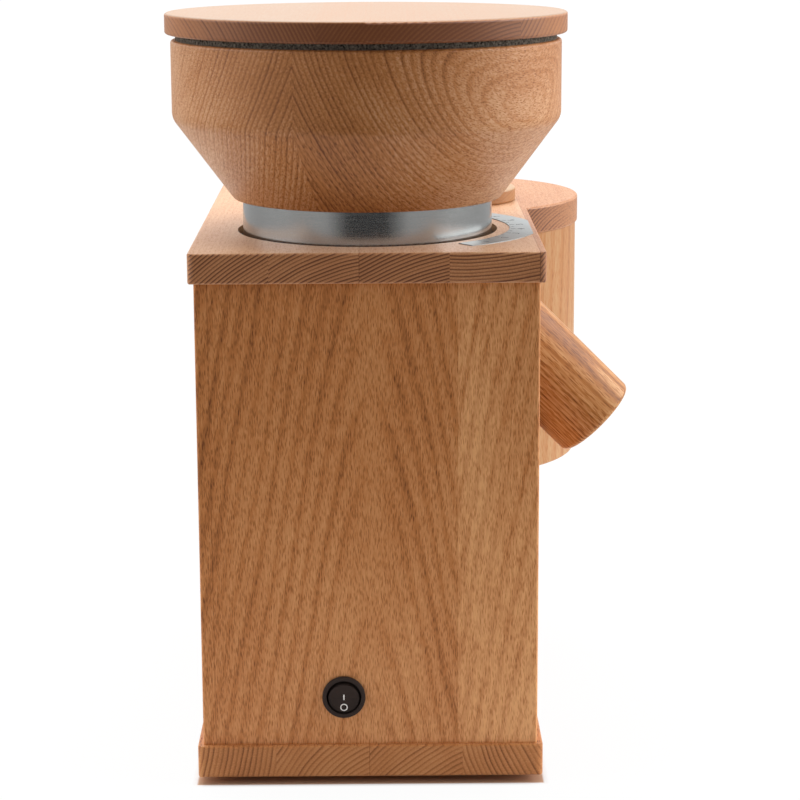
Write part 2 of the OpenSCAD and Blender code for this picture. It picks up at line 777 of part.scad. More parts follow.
module grinding_chamber() color("lightsteelblue") at_mill() difference() {
    union() {
        translate([0, 0, board_z - flange_t]) linear_extrude(flange_t)
            rounded_rect(flange_w, flange_l, flange_corner_r);
        translate([0, 0, motor_top_z])
            cylinder(r = chamber_r + chamber_wall, h = board_z - motor_top_z - tiny);
        difference() {
            intersection() {
                mill_spout_axis() translate([0, 0, -4 * spout_r])
                    cylinder(r = spout_bore_r + outlet_wall, h = 8 * spout_r);
                outlet_space(board_z - flange_t / 2);
            }
            cylinder(r = motor_r + 1, h = motor_top_z);
        }
    }
    difference() {
        translate([0, 0, chamber_floor_z]) cylinder(r = chamber_r, h = board_z);
        for (a = guide_angles) rotate(a) translate([guide_circle_r, 0, seat_boss_z - seat_boss_h]) {
            cylinder(r = seat_boss_r, h = seat_boss_h);
            translate([0, -seat_boss_r, 0]) cube([chamber_wall + 6, 2 * seat_boss_r, seat_boss_h]);
        }
    }
    for (a = guide_angles) rotate(a) translate([guide_circle_r, 0, seat_boss_z - guide_depth - 1])
        cylinder(r = guide_pin_r + guide_play, h = seat_boss_h);
    intersection() {
        mill_spout_axis() translate([0, 0, -4 * spout_r]) cylinder(r = spout_bore_r, h = 8 * spout_r);
        translate([chamber_r - 8, -spout_r * 2, chamber_floor_z - spout_r * 2])
            cube([case_w, spout_r * 4, board_z - flange_t - chamber_floor_z + spout_r * 2]);
    }
    translate([0, 0, motor_top_z - 1]) cylinder(r = shaft_r + 1, h = chamber_floor_t + 2);
    flange_holes(screw_r + fit_gap, board_z - flange_t - 1, flange_t + 2);
    motor_bolt_places() translate([0, 0, motor_top_z - 1])
        cylinder(r = bolt_r + fit_gap, h = chamber_floor_t + 2);
}

module chamber_screws() color("silver") at_mill() for (x = [-1, 1], y = [-1, 1])
    translate([x * flange_screw_x, y * flange_screw_y, board_z - flange_t])
        screw_up(screw_r, screw_head_r, screw_head_h, screw_l + flange_t - 1);

// Turned tube, cut flush with the inside of the panel
module spout() color("peru") place() difference() {
    along_spout() translate([0, 0, -3 * spout_r]) rotate_extrude() difference() {
        union() {
            translate([spout_bore_r, 0])
                square([spout_r - spout_bore_r, spout_l + 3 * spout_r - spout_rim_r]);
            translate([spout_r - spout_rim_r, spout_l + 3 * spout_r - spout_rim_r])
                circle(spout_rim_r);
            translate([spout_bore_r, spout_l + 3 * spout_r - spout_rim_r - tiny])
                square([spout_r - spout_rim_r - spout_bore_r, spout_rim_r + tiny]);
        }
        square([spout_bore_r, spout_l + 4 * spout_r]);
    }
    translate([inner_x - 8 * spout_r, mill_y - 2 * spout_r, 0])
        cube([8 * spout_r, 4 * spout_r, 3 * board_z]);
}

// ---- Motor ----

// End shield: a cup with its rim at z = 0 and its plate on top
module end_shield() difference() {
    cylinder(r = motor_r, h = shield_h);
    translate([0, 0, -1]) difference() {
        cylinder(r = motor_r - shield_wall, h = shield_h - shield_wall + 1);
        cylinder(r = bearing_r + shield_wall, h = shield_h);
        motor_bolt_places() cylinder(r = bolt_r + 3, h = shield_h);
    }
    translate([0, 0, -1]) cylinder(r = bearing_r + fit_gap, h = shield_h - shield_wall + 1);
    translate([0, 0, -1]) cylinder(r = shaft_r + 1, h = shield_h + 2);
    translate([0, 0, -1]) cylinder(r = bearing_r + 2 * shield_wall, h = shield_h - shield_wall
        - bearing_h);
    motor_bolt_places() translate([0, 0, -1]) cylinder(r = bolt_r + fit_gap, h = shield_h + 2);
    for (i = [0 : 7]) rotate(i * 45 + 22.5)
        translate([(bearing_r + motor_r) / 2, 0, shield_h / 2]) linear_extrude(shield_h)
            slot(motor_r - bearing_r - 4 * shield_wall, 6);
}

module motor_top_shield() color("lightgray") at_mill()
    translate([0, 0, motor_top_z - shield_h]) end_shield();

module motor_bottom_shield() color("lightgray") at_mill()
    translate([0, 0, stator_z]) mirror([0, 0, 1]) end_shield();

module stator_core() color("gray") at_mill() translate([0, 0, stator_z]) difference() {
    ring(motor_r, stator_bore_r, stator_h);
    motor_bolt_places() translate([0, 0, -1]) cylinder(r = bolt_r + fit_gap, h = stator_h + 2);
}

module winding() rotate_extrude() translate([(winding_r + stator_bore_r + 3) / 2, winding_h / 2])
    rounded_rect(winding_r - stator_bore_r - 3, winding_h, winding_h / 4);

module stator_windings() color("chocolate") at_mill() {
    translate([0, 0, stator_z + stator_h]) winding();
    translate([0, 0, stator_z - winding_h]) winding();
}

module rotor_core() color("gray") at_mill() translate([0, 0, stator_z])
    ring(stator_bore_r - rotor_gap, shaft_r + fit_gap, stator_h);

module motor_shaft() color("silver") at_mill() translate([0, 0, fan_z])
    cylinder(r = shaft_r, h = hub_z + hub_t + stone_t + nut_h / 2 + 1 - fan_z);

bearing_seat_z = shield_h - shield_wall - bearing_h;

module motor_bearings() color("silver") at_mill() {
    translate([0, 0, motor_top_z - shield_h + bearing_seat_z])
        ring(bearing_r, shaft_r + fit_gap, bearing_h);
    translate([0, 0, stator_z - bearing_seat_z - bearing_h])
        ring(bearing_r, shaft_r + fit_gap, bearing_h);
}

module motor_fan() color("dimgray") at_mill() translate([0, 0, fan_z]) difference() {
    union() {
        cylinder(r = fan_r, h = 2);
        cylinder(r = shaft_r + 5, h = fan_h);
        for (i = [0 : fan_n - 1]) rotate(i * 360 / fan_n)
            translate([shaft_r + 3, -1, 0]) cube([fan_r - shaft_r - 4, 2, fan_h]);
    }
    translate([0, 0, -1]) cylinder(r = shaft_r + fit_gap, h = fan_h + 2);
}

module motor_bolts() color("silver") at_mill() motor_bolt_places()
    translate([0, 0, motor_bottom_z]) screw_up(bolt_r, bolt_head_r, bolt_head_h,
        chamber_floor_z - motor_bottom_z);

capacitor_gap = 6;
clip_lift = 2;
clip_t = 1.5;
clip_w = 16;
clip_foot_w = 8;
clip_mouth_w = 10;
capacitor_x = -inner_x + capacitor_r + capacitor_gap;
capacitor_y = (case_l - capacitor_l) / 2;
capacitor_z = base_top_z + capacitor_r + clip_lift;

module run_capacitor() color("whitesmoke") place()
    translate([capacitor_x, capacitor_y, capacitor_z]) rotate([-90, 0, 0])
        disc(capacitor_r, capacitor_l, 2);

// Clip that holds the capacitor down on the base board: a ring, open below, with two legs and feet
module capacitor_clip() color("silver") place()
    translate([capacitor_x, (case_l - clip_w) / 2, capacitor_z]) rotate([-90, 0, 0])
        linear_extrude(clip_w) {
            difference() {
                circle(capacitor_r + clip_t + seat_gap);
                circle(capacitor_r + seat_gap);
                translate([0, capacitor_r]) square([clip_mouth_w, capacitor_r], center = true);
            }
            for (x = [-1, 1]) translate([x * (capacitor_r + 1), 0]) {
                translate([-clip_foot_w / 2, capacitor_r - 0.5])
                    square([clip_foot_w, clip_lift + 0.5]);
                translate([-1, 0]) square([2, capacitor_r + 1]);
            }
        }

// ---- Switch and cord entry ----

module switch_body() color("black") place() translate([switch_x, 0, switch_z])
    rotate([-90, 0, 0]) difference() {
        union() {
            translate([0, 0, -bezel_t]) intersection() {
                disc(bezel_r, 2 * bezel_t, bezel_t / 2);
                cylinder(r = bezel_r, h = bezel_t);
            }
            cylinder(r = switch_body_r, h = switch_body_l);
        }
        translate([0, 0, -bezel_t - 1])
            cylinder(r = rocker_r + rocker_play, h = bezel_t + pivot_depth + rocker_r / 2 + 1);
    }

// Round rocker whose side narrows away from the pivot, with two flats that meet over the pivot
module switch_rocker() color("black") place()
    translate([switch_x, pivot_depth, switch_z]) rotate([rocker_tilt, 0, 0]) intersection() {
        rotate([90, 0, 0]) rotate_extrude() polygon([[0, -rocker_back],
            [rocker_r - 0.6, -rocker_back], [rocker_r, 0],
            [rocker_r - 1, rocker_front + rocker_dip], [0, rocker_front + rocker_dip]]);
        rotate([90, 0, 90]) translate([0, 0, -rocker_r]) linear_extrude(2 * rocker_r)
            polygon([[rocker_back, -rocker_r], [rocker_back, rocker_r],
                [-rocker_front - rocker_dip, rocker_r], [-rocker_front, 0],
                [-rocker_front - rocker_dip, -rocker_r]]);
    }

rocker_front = pivot_depth + 0.6;
rocker_back = 3;
rocker_dip = 1.2;
gland_body_r = 6;
gland_bore_r = 3.5;
gland_y = case_l - panel_t - block_w - gland_r - 3;

module cord_gland() color("black") place()
    translate([-case_w / 2, gland_y, gland_z]) rotate([0, 90, 0])
        difference() {
            union() {
                translate([0, 0, -board_overhang]) intersection() {
                    disc(gland_r, 2 * board_overhang, 1);
                    cylinder(r = gland_r, h = board_overhang);
                }
                cylinder(r = gland_body_r, h = panel_t + 4);
            }
            translate([0, 0, -board_overhang - 1]) cylinder(r = gland_bore_r, h = panel_t + 10);
        }

// ---- Flaker ----

module flaker_lid() color("burlywood") place() translate([inlet_x, inlet_y, board_top_z]) {
    disc(inlet_lid_r, inlet_lid_t, inlet_lid_edge_r);
    rotate_extrude() polygon([[0, -inlet_plug_h],
        [inlet_r - plug_gap - inlet_plug_h * inlet_slope, -inlet_plug_h],
        [inlet_r - plug_gap, 0], [inlet_r - plug_gap, inlet_lid_edge_r], [0, inlet_lid_edge_r]]);
}

// Funnel with a flange under the top board
module grain_funnel() color("silver") place() translate([inlet_x, inlet_y, 0])
    rotate_extrude() polygon([
        [inlet_low_r, board_z], [inlet_low_r + 2 * funnel_wall, board_z],
        [inlet_low_r + 2 * funnel_wall, board_z - funnel_wall],
        [inlet_low_r + funnel_wall, board_z - funnel_wall],
        [funnel_neck_r + funnel_wall, funnel_bottom_z + funnel_neck_h],
        [funnel_neck_r + funnel_wall, funnel_bottom_z], [funnel_neck_r, funnel_bottom_z],
        [funnel_neck_r, funnel_bottom_z + funnel_neck_h + 0.5],
        [inlet_low_r, board_z - funnel_wall]]);

module at_plate_screws()
    for (x = [plate_front_x - tab_l / 2, plate_rear_x + plate_t + tab_l / 2], y = [-1, 1])
        translate([x, inlet_y + y * (plate_half_w - tab_w / 2), 0]) children();

// Steel plate for the roller bushes, in the YZ plane, with two tabs under the top board
module roller_plate(x, tab_side) translate([x, 0, 0]) difference() {
    union() {
        rotate([90, 0, 90]) linear_extrude(plate_t) translate([inlet_y, 0]) polygon([
            [-plate_half_w, board_z], [-plate_half_w, roller_z],
            [-plate_half_w + plate_corner, plate_bottom_z],
            [plate_half_w - plate_corner, plate_bottom_z], [plate_half_w, roller_z],
            [plate_half_w, board_z], [plate_half_w - tab_w, board_z],
            [plate_half_w - tab_w, plate_notch_z],
            [-plate_half_w + tab_w, plate_notch_z], [-plate_half_w + tab_w, board_z]]);
        for (y = [-plate_half_w, plate_half_w - tab_w])
            translate([tab_side > 0 ? plate_t - tiny : -tab_l, inlet_y + y, board_z - plate_t])
                cube([tab_l + tiny, tab_w, plate_t]);
    }
    for (y = [drive_y, driven_y]) translate([-1, y, roller_z]) rotate([0, 90, 0])
        cylinder(r = bush_r + fit_gap, h = plate_t + 2);
    translate([-x, 0, 0]) at_plate_screws() translate([0, 0, board_z - plate_t - 1])
        cylinder(r = screw_r + fit_gap, h = plate_t + 2);
}

module roller_plate_front() color("lightgray") place() roller_plate(plate_front_x, -1);
module roller_plate_rear() color("lightgray") place() roller_plate(plate_rear_x, 1);

module plate_screws() color("silver") place() at_plate_screws()
    translate([0, 0, board_z - plate_t]) screw_up(screw_r, screw_head_r, screw_head_h, screw_l - 2);

// Outline of a fluted roller
function flute_points(r) = [for (i = [0 : flute_n - 1], k = [0 : 2])
    let (a = 360 / flute_n * (i + [0, 0.5, 0.8][k]), rr = [r, r, r - flute_depth][k])
    [rr * cos(a), rr * sin(a)]];

// Roller along X from x = roller_x, with journals of the given reach at both ends
module roller(y, rear_x) translate([0, y, roller_z]) rotate([0, 90, 0]) {
    translate([0, 0, roller_x]) linear_extrude(roller_w) polygon(flute_points(roller_r));
    translate([0, 0, rear_x]) cylinder(r = journal_r, h = inner_x - journal_end_gap - rear_x);
}

module drive_roller() color("silver") place() roller(drive_y, drive_end_x);
module driven_roller() color("silver") place() roller(driven_y, gear_x - 1);

// Involute spur gear on the Z axis; start turns it by a share of one tooth
function involute(base, t) = [base * (cos(t) + t * PI / 180 * sin(t)),
    base * (sin(t) - t * PI / 180 * cos(t))];
function turned(p, a) = [p[0] * cos(a) - p[1] * sin(a), p[0] * sin(a) + p[1] * cos(a)];

pressure_angle = 20;
gear_pitch_r = roller_pitch / 2;
gear_base_r = gear_pitch_r * cos(pressure_angle);
gear_tip_r = gear_pitch_r + 0.9 * gear_module;
gear_root_r = gear_pitch_r - 1.2 * gear_module;
function roll_to(r) = sqrt(max(0, pow(r / gear_base_r, 2) - 1)) * 180 / PI;
// Half of the angle of a tooth at the base circle
tooth_half = 90 / gear_n + (tan(pressure_angle) * 180 / PI - pressure_angle)
    - gear_backlash / 2 / gear_pitch_r * 180 / PI;

function tooth_points(start) = [for (i = [0 : gear_n - 1], side = [-1, 1], k = [0 : 4])
    let (step = side < 0 ? k : 4 - k, a = 360 / gear_n * (i + start),
        r = gear_root_r + (gear_tip_r - gear_root_r) * step / 4,
        p = r <= gear_base_r ? [r, 0] : involute(gear_base_r, roll_to(r)))
    turned([p[0], -side * p[1]], a + side * tooth_half)];

module spur_gear(start, bore) difference() {
    linear_extrude(gear_w) polygon(tooth_points(start));
    translate([0, 0, -1]) cylinder(r = bore, h = gear_w + 2);
}

module drive_gear() color("goldenrod") place() translate([gear_x, drive_y, roller_z])
    rotate([0, 90, 0]) rotate(90) spur_gear(0, journal_r + fit_gap);
module driven_gear() color("goldenrod") place() translate([gear_x, driven_y, roller_z])
    rotate([0, 90, 0]) rotate(-90) spur_gear(0.5, journal_r + fit_gap);

module roller_bushes() color("darkgoldenrod") place()
    for (y = [drive_y, driven_y], x = [plate_front_x, plate_rear_x])
        translate([x, y, roller_z]) rotate([0, 90, 0]) difference() {
            cylinder(r = bush_r, h = plate_t);
            translate([0, 0, -1]) cylinder(r = journal_r + journal_play, h = plate_t + 2);
        }

module at_pillars() translate([0, drive_y, roller_z]) rotate([0, 90, 0]) rotate(90)
    for (a = pillar_angles) rotate(a) translate([pillar_circle_r, 0, 0]) children();

module gearbox_pillars() color("silver") place()
    translate([plate_rear_x - pillar_l, 0, 0]) at_pillars() cylinder(r = pillar_r, h = pillar_l);

module flaker_gearbox() color("gray") place() translate([gearbox_x, drive_y, roller_z])
    rotate([0, 90, 0]) difference() {
        disc(gearbox_r, gearbox_l, 2);
        translate([0, 0, gearbox_l / 3]) cylinder(r = journal_r + journal_play, h = gearbox_l);
    }

module flaker_motor() color("dimgray") place()
    translate([gearbox_x - flaker_motor_l, drive_y, roller_z]) rotate([0, 90, 0])
        difference() {
            disc(flaker_motor_r, flaker_motor_l, 2);
            for (i = [0 : 11]) rotate(i * 30) translate([flaker_motor_r, 0, motor_groove_inset])
                cylinder(r = 1.5, h = flaker_motor_l - 2 * motor_groove_inset);
        }

shaft_end_gap = 0.5;

module gearbox_shaft() color("silver") place()
    translate([gearbox_x + gearbox_l / 3 + 1, drive_y, roller_z]) rotate([0, 90, 0])
        cylinder(r = journal_r, h = drive_end_x - shaft_end_gap - gearbox_x - gearbox_l / 3 - 1);

module shaft_coupling() color("slategray") place()
    translate([gearbox_x + gearbox_l + 1, drive_y, roller_z]) rotate([0, 90, 0])
        ring(journal_r + 4, journal_r + fit_gap, gear_x - 1 - gearbox_x - gearbox_l - 1);

// Bent sheet that carries the flakes from under the rollers out into the column
chute_rise = chute_run * tan(chute_angle);
chute_end_z = chute_z - chute_rise;
chute_lip_h = 10;
window_play = 3;
window_top_z = chute_z - (inner_x - chute_x) * tan(chute_angle) + chute_side_h + window_play;

module flake_chute() color("lightgray") place() translate([chute_x, inlet_y, 0])
    rotate([90, 0, 0]) {
        translate([0, 0, -chute_w / 2]) linear_extrude(chute_w) polygon([
            [0, chute_z], [0, chute_z + chute_lip_h], [chute_t, chute_z + chute_lip_h],
            [chute_t, chute_z + chute_t], [chute_run, chute_end_z + chute_t], [chute_run, chute_end_z]]);
        for (y = [-chute_w / 2, chute_w / 2 - chute_t]) translate([0, 0, y])
            linear_extrude(chute_t) polygon([[0, chute_z], [0, chute_z + chute_lip_h],
                [chute_t, chute_z + chute_side_h], [chute_run, chute_end_z + chute_side_h],
                [chute_run, chute_end_z]]);
    }

top_board();
base_board();
switch_panel();
end_panel();
spout_panel();
rear_panel();
base_blocks();
column_shell();
rubber_feet();
foot_screws();
hopper();
hopper_lid();
lid_gasket();
hopper_foot();
collar_ring();
hopper_screws();
scale_plate();
thread_ring();
stone_carrier();
upper_stone();
carrier_springs();
lower_stone();
stone_hub();
shaft_nut();
grinding_chamber();
chamber_screws();
spout();
motor_top_shield();
motor_bottom_shield();
stator_core();
stator_windings();
rotor_core();
motor_shaft();
motor_bearings();
motor_fan();
motor_bolts();
run_capacitor();
capacitor_clip();
switch_body();
switch_rocker();
cord_gland();
flaker_lid();
grain_funnel();
roller_plate_front();
roller_plate_rear();
drive_roller();
driven_roller();
drive_gear();
driven_gear();
roller_bushes();
gearbox_pillars();
flaker_gearbox();
flaker_motor();
gearbox_shaft();
shaft_coupling();
flake_chute();
plate_screws();
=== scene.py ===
# %% [markdown]
# # A grain mill in beech, dressed in Blender
# The solids of the mill come ready made, each named and in its place. This lesson gives them
# their finishes: beech in several cuts, brushed steel, felt, moulded plastic. It adds the small
# marks that are too thin for the solids. Wood is the main subject, so most cells are about it.

# %% Load the solids
import json
import math
import bmesh
import bpy
import numpy as np
from mathutils import Matrix, Vector


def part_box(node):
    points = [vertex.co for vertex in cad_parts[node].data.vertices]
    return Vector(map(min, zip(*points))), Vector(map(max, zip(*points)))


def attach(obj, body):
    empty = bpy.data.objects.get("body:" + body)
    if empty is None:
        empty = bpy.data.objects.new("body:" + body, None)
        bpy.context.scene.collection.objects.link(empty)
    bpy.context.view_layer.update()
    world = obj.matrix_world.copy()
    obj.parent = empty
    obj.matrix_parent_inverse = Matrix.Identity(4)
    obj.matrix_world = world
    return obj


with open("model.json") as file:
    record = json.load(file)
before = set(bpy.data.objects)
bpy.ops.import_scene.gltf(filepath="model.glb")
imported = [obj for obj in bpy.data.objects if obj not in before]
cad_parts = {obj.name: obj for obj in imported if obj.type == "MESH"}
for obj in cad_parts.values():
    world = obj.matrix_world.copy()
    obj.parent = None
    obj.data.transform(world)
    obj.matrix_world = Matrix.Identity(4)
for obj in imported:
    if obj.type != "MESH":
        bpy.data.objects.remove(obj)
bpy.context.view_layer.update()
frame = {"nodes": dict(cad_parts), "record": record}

# %% [markdown]
# ## The camera
# A long lens from about 1.3 m keeps the upright edges nearly parallel. The camera looks down by
# 12 degrees, so that the top of the board and of the lid show as thin slivers. A constraint could
# aim it at a target. Its three axes are written as vectors instead, because that is plainer than a
# chain of turns and gives a small roll as well.

# %% Place the camera
CAMERA_PLACE = Vector((-0.0103, -1.3720, 0.4684))
CAMERA_YAW, CAMERA_PITCH, CAMERA_ROLL = 0.452, 12.042, -0.261      # degrees
LENS_MM, SENSOR_MM = 107.28, 36


def look_at_mill(place, yaw, pitch, roll):
    """Camera at place. Forward is level at yaw, then tipped down by pitch; roll turns it about forward."""
    yaw, pitch, roll = (math.radians(a) for a in (yaw, pitch, roll))
    forward = Vector((math.sin(yaw) * math.cos(pitch), math.cos(yaw) * math.cos(pitch), -math.sin(pitch)))
    right = Vector((math.cos(yaw), -math.sin(yaw), 0))
    up = right.cross(forward)
    across = math.cos(roll) * right + math.sin(roll) * up
    upright = math.cos(roll) * up - math.sin(roll) * right
    data = bpy.data.cameras.new("camera")
    data.lens, data.sensor_width = LENS_MM, SENSOR_MM
    camera = bpy.data.objects.new("camera", data)
    axes = Matrix((across, upright, -forward)).transposed().to_4x4()
    camera.matrix_world = Matrix.Translation(place) @ axes
    bpy.context.scene.collection.objects.link(camera)
    bpy.context.scene.camera = camera
    return camera


camera = look_at_mill(CAMERA_PLACE, CAMERA_YAW, CAMERA_PITCH, CAMERA_ROLL)
print("camera at", [round(v, 3) for v in camera.location])

# %% [markdown]
# ## Helpers for materials
# A material is a tree of nodes, which could be wired by hand in the editor. In a script, one helper
# that adds a node with its settings and its links lets each material read as a recipe. Another
# turns the hex colours of a paint chart into the linear numbers that Blender works with.

# %% Helpers for node trees
MM = 0.001


def per(size_mm):
    """The scale of a noise or a cell pattern, so that one grain of it is size_mm long."""
    return 1 / (size_mm * MM)


def linear(hex_colour):
    """sRGB hex to linear: each channel c becomes ((c + 0.055) / 1.055) ^ 2.4, or c / 12.92 when dark."""
    c = np.array([int(hex_colour[i:i + 2], 16) / 255 for i in (1, 3, 5)])
    c = np.where(c <= 0.04045, c / 12.92, ((c + 0.055) / 1.055) ** 2.4)
    return (*(float(v) for v in c), 1.0)


def add(tree, kind, inputs=None, out=0, stops=None, steps="LINEAR", **settings):
    """Adds a node, sets its settings, fills or links its inputs, and returns one output, or the node.
    stops are those of a colour ramp: (place, hex colour, number or three numbers)."""
    made = tree.nodes.new("ShaderNode" + kind)
    for key, value in settings.items():
        setattr(made, key, value)
    for key, value in (inputs or {}).items():
        if isinstance(value, bpy.types.NodeSocket):
            tree.links.new(value, made.inputs[key])
        else:
            made.inputs[key].default_value = value
    if stops:
        made.color_ramp.interpolation = steps
        while len(made.color_ramp.elements) < len(stops):
            made.color_ramp.elements.new(1.0)
        for element, (place, colour) in zip(made.color_ramp.elements, stops):
            numbers = linear(colour)[:3] if isinstance(colour, str) else np.ravel(colour) * np.ones(3)
            element.position = place
            element.color = (*numbers, 1.0)
    return made if out is None else made.outputs[out]


def new_material(name):
    """An empty material, and its tree to fill."""
    material = bpy.data.materials.new(name)
    material.use_nodes = True
    material.node_tree.nodes.clear()
    return material, material.node_tree


print("white is", linear("#FFFFFF")[:3])

# %% [markdown]
# ## Beech, from the tree outwards
# A beech log grows in rings round its pith. A board is a straight cut out of that log, so the
# same solid pattern gives arches on a face, arcs on an end and fine lines on an edge. An image laid
# on each face would break at every edge, so the material is worked out in three dimensions. For
# each board it needs the distances p and q across the grain from the pith, and the distance g
# along the grain. Beech has three marks:
# - growth rings a few mm apart, each with a thin dark line where the summer wood ends
# - ray flecks, short dark dashes of 2 to 6 mm along the grain, packed closely
# - a fine streak of pores, and a slow change of tone over centimetres
#
# The rings come first. They wander, they lean a little along the stem, and no two are equally dark.

# %% Growth rings
# Darkness across one ring, from its spring wood to its summer wood.
CRISP_RING = [(0.0, 0.15), (0.15, 0.0), (0.5, 0.2), (0.8, 1.0), (0.9, 0.9), (1.0, 0.15)]
SOFT_RING = [(0.0, 0.3), (0.2, 0.0), (0.5, 0.3), (0.75, 1.0), (0.85, 0.95), (1.0, 0.3)]
WAVE_MM = 45                           # width across the grain over which the rings wander
FAINTEST_RING = 0.35                   # the faintest year's ring against the darkest


def growth_rings(tree, p, q, g, place, look):
    """Darkness of the rings = profile of the fraction of (distance from the pith + waves + taper * g) / spacing,
    times a strength that is drawn once for each ring."""
    slow = add(tree, "Mapping", {"Vector": place, "Scale": tuple(map(per, (WAVE_MM, WAVE_MM, look["wave_l"])))})
    wave = add(tree, "TexNoise", {"Vector": slow, "Scale": 1.0, "Detail": 2.0, "Roughness": 0.45})
    across = add(tree, "CombineXYZ", {"X": p, "Y": q})
    distance = add(tree, "VectorMath", {0: across}, out="Value", operation="LENGTH")
    for bend, share in ((g, look["taper"]), (wave, look["wave"] * MM)):
        distance = add(tree, "Math", {0: bend, 1: share, 2: distance}, operation="MULTIPLY_ADD")
    phase = add(tree, "Math", {0: distance, 1: per(look["spacing"])}, operation="MULTIPLY")
    ring = add(tree, "Math", {0: phase}, operation="FRACT")
    ring = add(tree, "ValToRGB", {"Fac": ring}, stops=SOFT_RING if look["soft"] else CRISP_RING)
    ring_no = add(tree, "Math", {0: phase}, operation="FLOOR")
    strength = add(tree, "TexWhiteNoise", {"W": ring_no}, noise_dimensions="1D")
    strength = add(tree, "MapRange", {"Value": strength, "To Min": FAINTEST_RING, "To Max": 1.0})
    return add(tree, "Math", {0: ring, 1: strength}, operation="MULTIPLY")


print("ring profiles:", len(CRISP_RING), "and", len(SOFT_RING), "stops")

# %% [markdown]
# ## Ray flecks
# The rays of a beech run from its pith outwards, and a face cuts them into thousands of short
# dashes. Modelling them would be hopeless, and a plain noise gives blots. A Voronoi pattern whose
# cells are stretched along the grain gives one dash in each cell; a slow noise first pushes the
# cells aside, so that they don't stand in rows, and some cells stay empty.

# %% Dashes along the grain
FLECK_CORE, FLECK_EDGE = 0.2, 0.52     # a dash is full inside the first radius and gone past the second, in cells
FLECK_PUSH = (1.1, 1.1, 0.6)           # how far a cell is pushed aside, in cells
FLECK_FADE = 0.05                      # share of the cells whose dash is only half there


def ray_flecks(tree, place, look):
    """Closeness to the nearest point of a cloud that is stretched along the grain, kept in some cells only."""
    stretch = tuple(map(per, (look["fleck_w"], look["fleck_w"], look["fleck_l"])))
    cells = add(tree, "Mapping", {"Vector": place, "Scale": stretch})
    push = add(tree, "TexNoise", {"Vector": cells, "Scale": 0.3, "Detail": 1.0}, out="Color")
    cells = add(tree, "VectorMath", {0: push, 1: FLECK_PUSH, 2: cells}, operation="MULTIPLY_ADD")
    near = add(tree, "TexVoronoi", {"Vector": cells, "Scale": 1.0, "Randomness": 1.0}, out=None)
    fleck = add(tree, "MapRange", {"Value": near.outputs["Distance"], "From Min": FLECK_CORE,
                                   "From Max": FLECK_EDGE, "To Min": 1.0, "To Max": 0.0},
                interpolation_type="SMOOTHSTEP")
    chance = add(tree, "SeparateColor", {"Color": near.outputs["Color"]}, out=0)
    empty = 1 - look["fleck_share"]
    kept = add(tree, "MapRange", {"Value": chance, "From Min": empty, "From Max": empty + FLECK_FADE})
    return add(tree, "Math", {0: fleck, 1: kept}, operation="MULTIPLY")


print("dash radius:", FLECK_CORE, "to", FLECK_EDGE, "of a cell")

# %% [markdown]
# ## The oiled surface
# All marks are added up to one darkness, and a ramp of three colours turns it into wood. The finish
# is rubbed-in oil: satin, with little mirror light, so the colour stays warm in every direction.
# The end grain drinks more oil, and so it is darker and its rings stand out.

# %% The beech itself
PORE_MM = 0.8                          # real pores are 0.1 mm wide; drawn coarser, as small bundles that show
PATCH_MM = (33, 33, 167)               # slow changes of tone, longest along the grain
BUMP_MM = 0.12                         # the darkest marks lie this much lower


def beech_surface(tree, p, q, g, seed, tone, end, look, clear=1.0):
    """Satin beech from its grain coordinates in metres; seed makes each piece of wood another one.
    end is 1 on end grain and 0 on a long face; clear says how plainly the rings show, from 0 to 1.
    darkness = tone + level + the sum of each mark times its share, where a noise counts from its middle."""
    place = add(tree, "CombineXYZ", {"X": p, "Y": q, "Z": g})
    place = add(tree, "VectorMath", {0: place, 1: add(tree, "CombineXYZ", {"X": seed, "Y": seed, "Z": seed})})
    ring = growth_rings(tree, p, q, g, place, look)
    ring_share = add(tree, "MapRange", {"Value": end, "To Min": look["ring"], "To Max": look["ring_end"]})
    ring_share = add(tree, "Math", {0: ring_share, 1: clear}, operation="MULTIPLY")
    ring = add(tree, "Math", {0: ring, 1: ring_share}, operation="MULTIPLY")
    along_face = add(tree, "Math", {0: 1.0, 1: end}, operation="SUBTRACT")
    fleck = add(tree, "Math", {0: ray_flecks(tree, place, look), 1: along_face}, operation="MULTIPLY")
    fine = add(tree, "Mapping", {"Vector": place, "Scale": tuple(map(per, (PORE_MM, PORE_MM, look["fine_l"])))})
    fine = add(tree, "TexNoise", {"Vector": fine, "Scale": 1.0, "Detail": 3.0, "Roughness": 0.6})
    patch = add(tree, "Mapping", {"Vector": place, "Scale": tuple(map(per, PATCH_MM))})
    patch = add(tree, "TexNoise", {"Vector": patch, "Scale": 1.0, "Detail": 3.0, "Roughness": 0.55})

    dark = add(tree, "Math", {0: tone, 1: look["level"] - 0.5 * (look["fine"] + look["patch"])})
    # g times look["rise"] is painted shade that grows along the grain; on the upright panels it darkens them towards
    # the top.
    for marks, share in ((ring, 1.0), (fleck, look["fleck"]), (fine, look["fine"]), (patch, look["patch"]),
                         (end, look["end"]), (g, look["rise"])):
        dark = add(tree, "Math", {0: marks, 1: share, 2: dark}, operation="MULTIPLY_ADD")
    colours = [(0.0, look["pale"]), (0.5, look["middle"]), (1.0, look["deep"])]
    colour = add(tree, "ValToRGB", {"Fac": dark}, stops=colours)
    bump = add(tree, "Bump", {"Height": dark, "Strength": 0.3, "Distance": -BUMP_MM * MM})
    rough = add(tree, "MapRange", {"Value": fine, "To Min": 0.34, "To Max": 0.5})
    oiled = add(tree, "BsdfPrincipled", {"Base Color": colour, "Roughness": rough, "Normal": bump, "IOR": 1.5,
                                         "Specular IOR Level": look["gloss"]})
    add(tree, "OutputMaterial", {"Surface": oiled}, out=None)


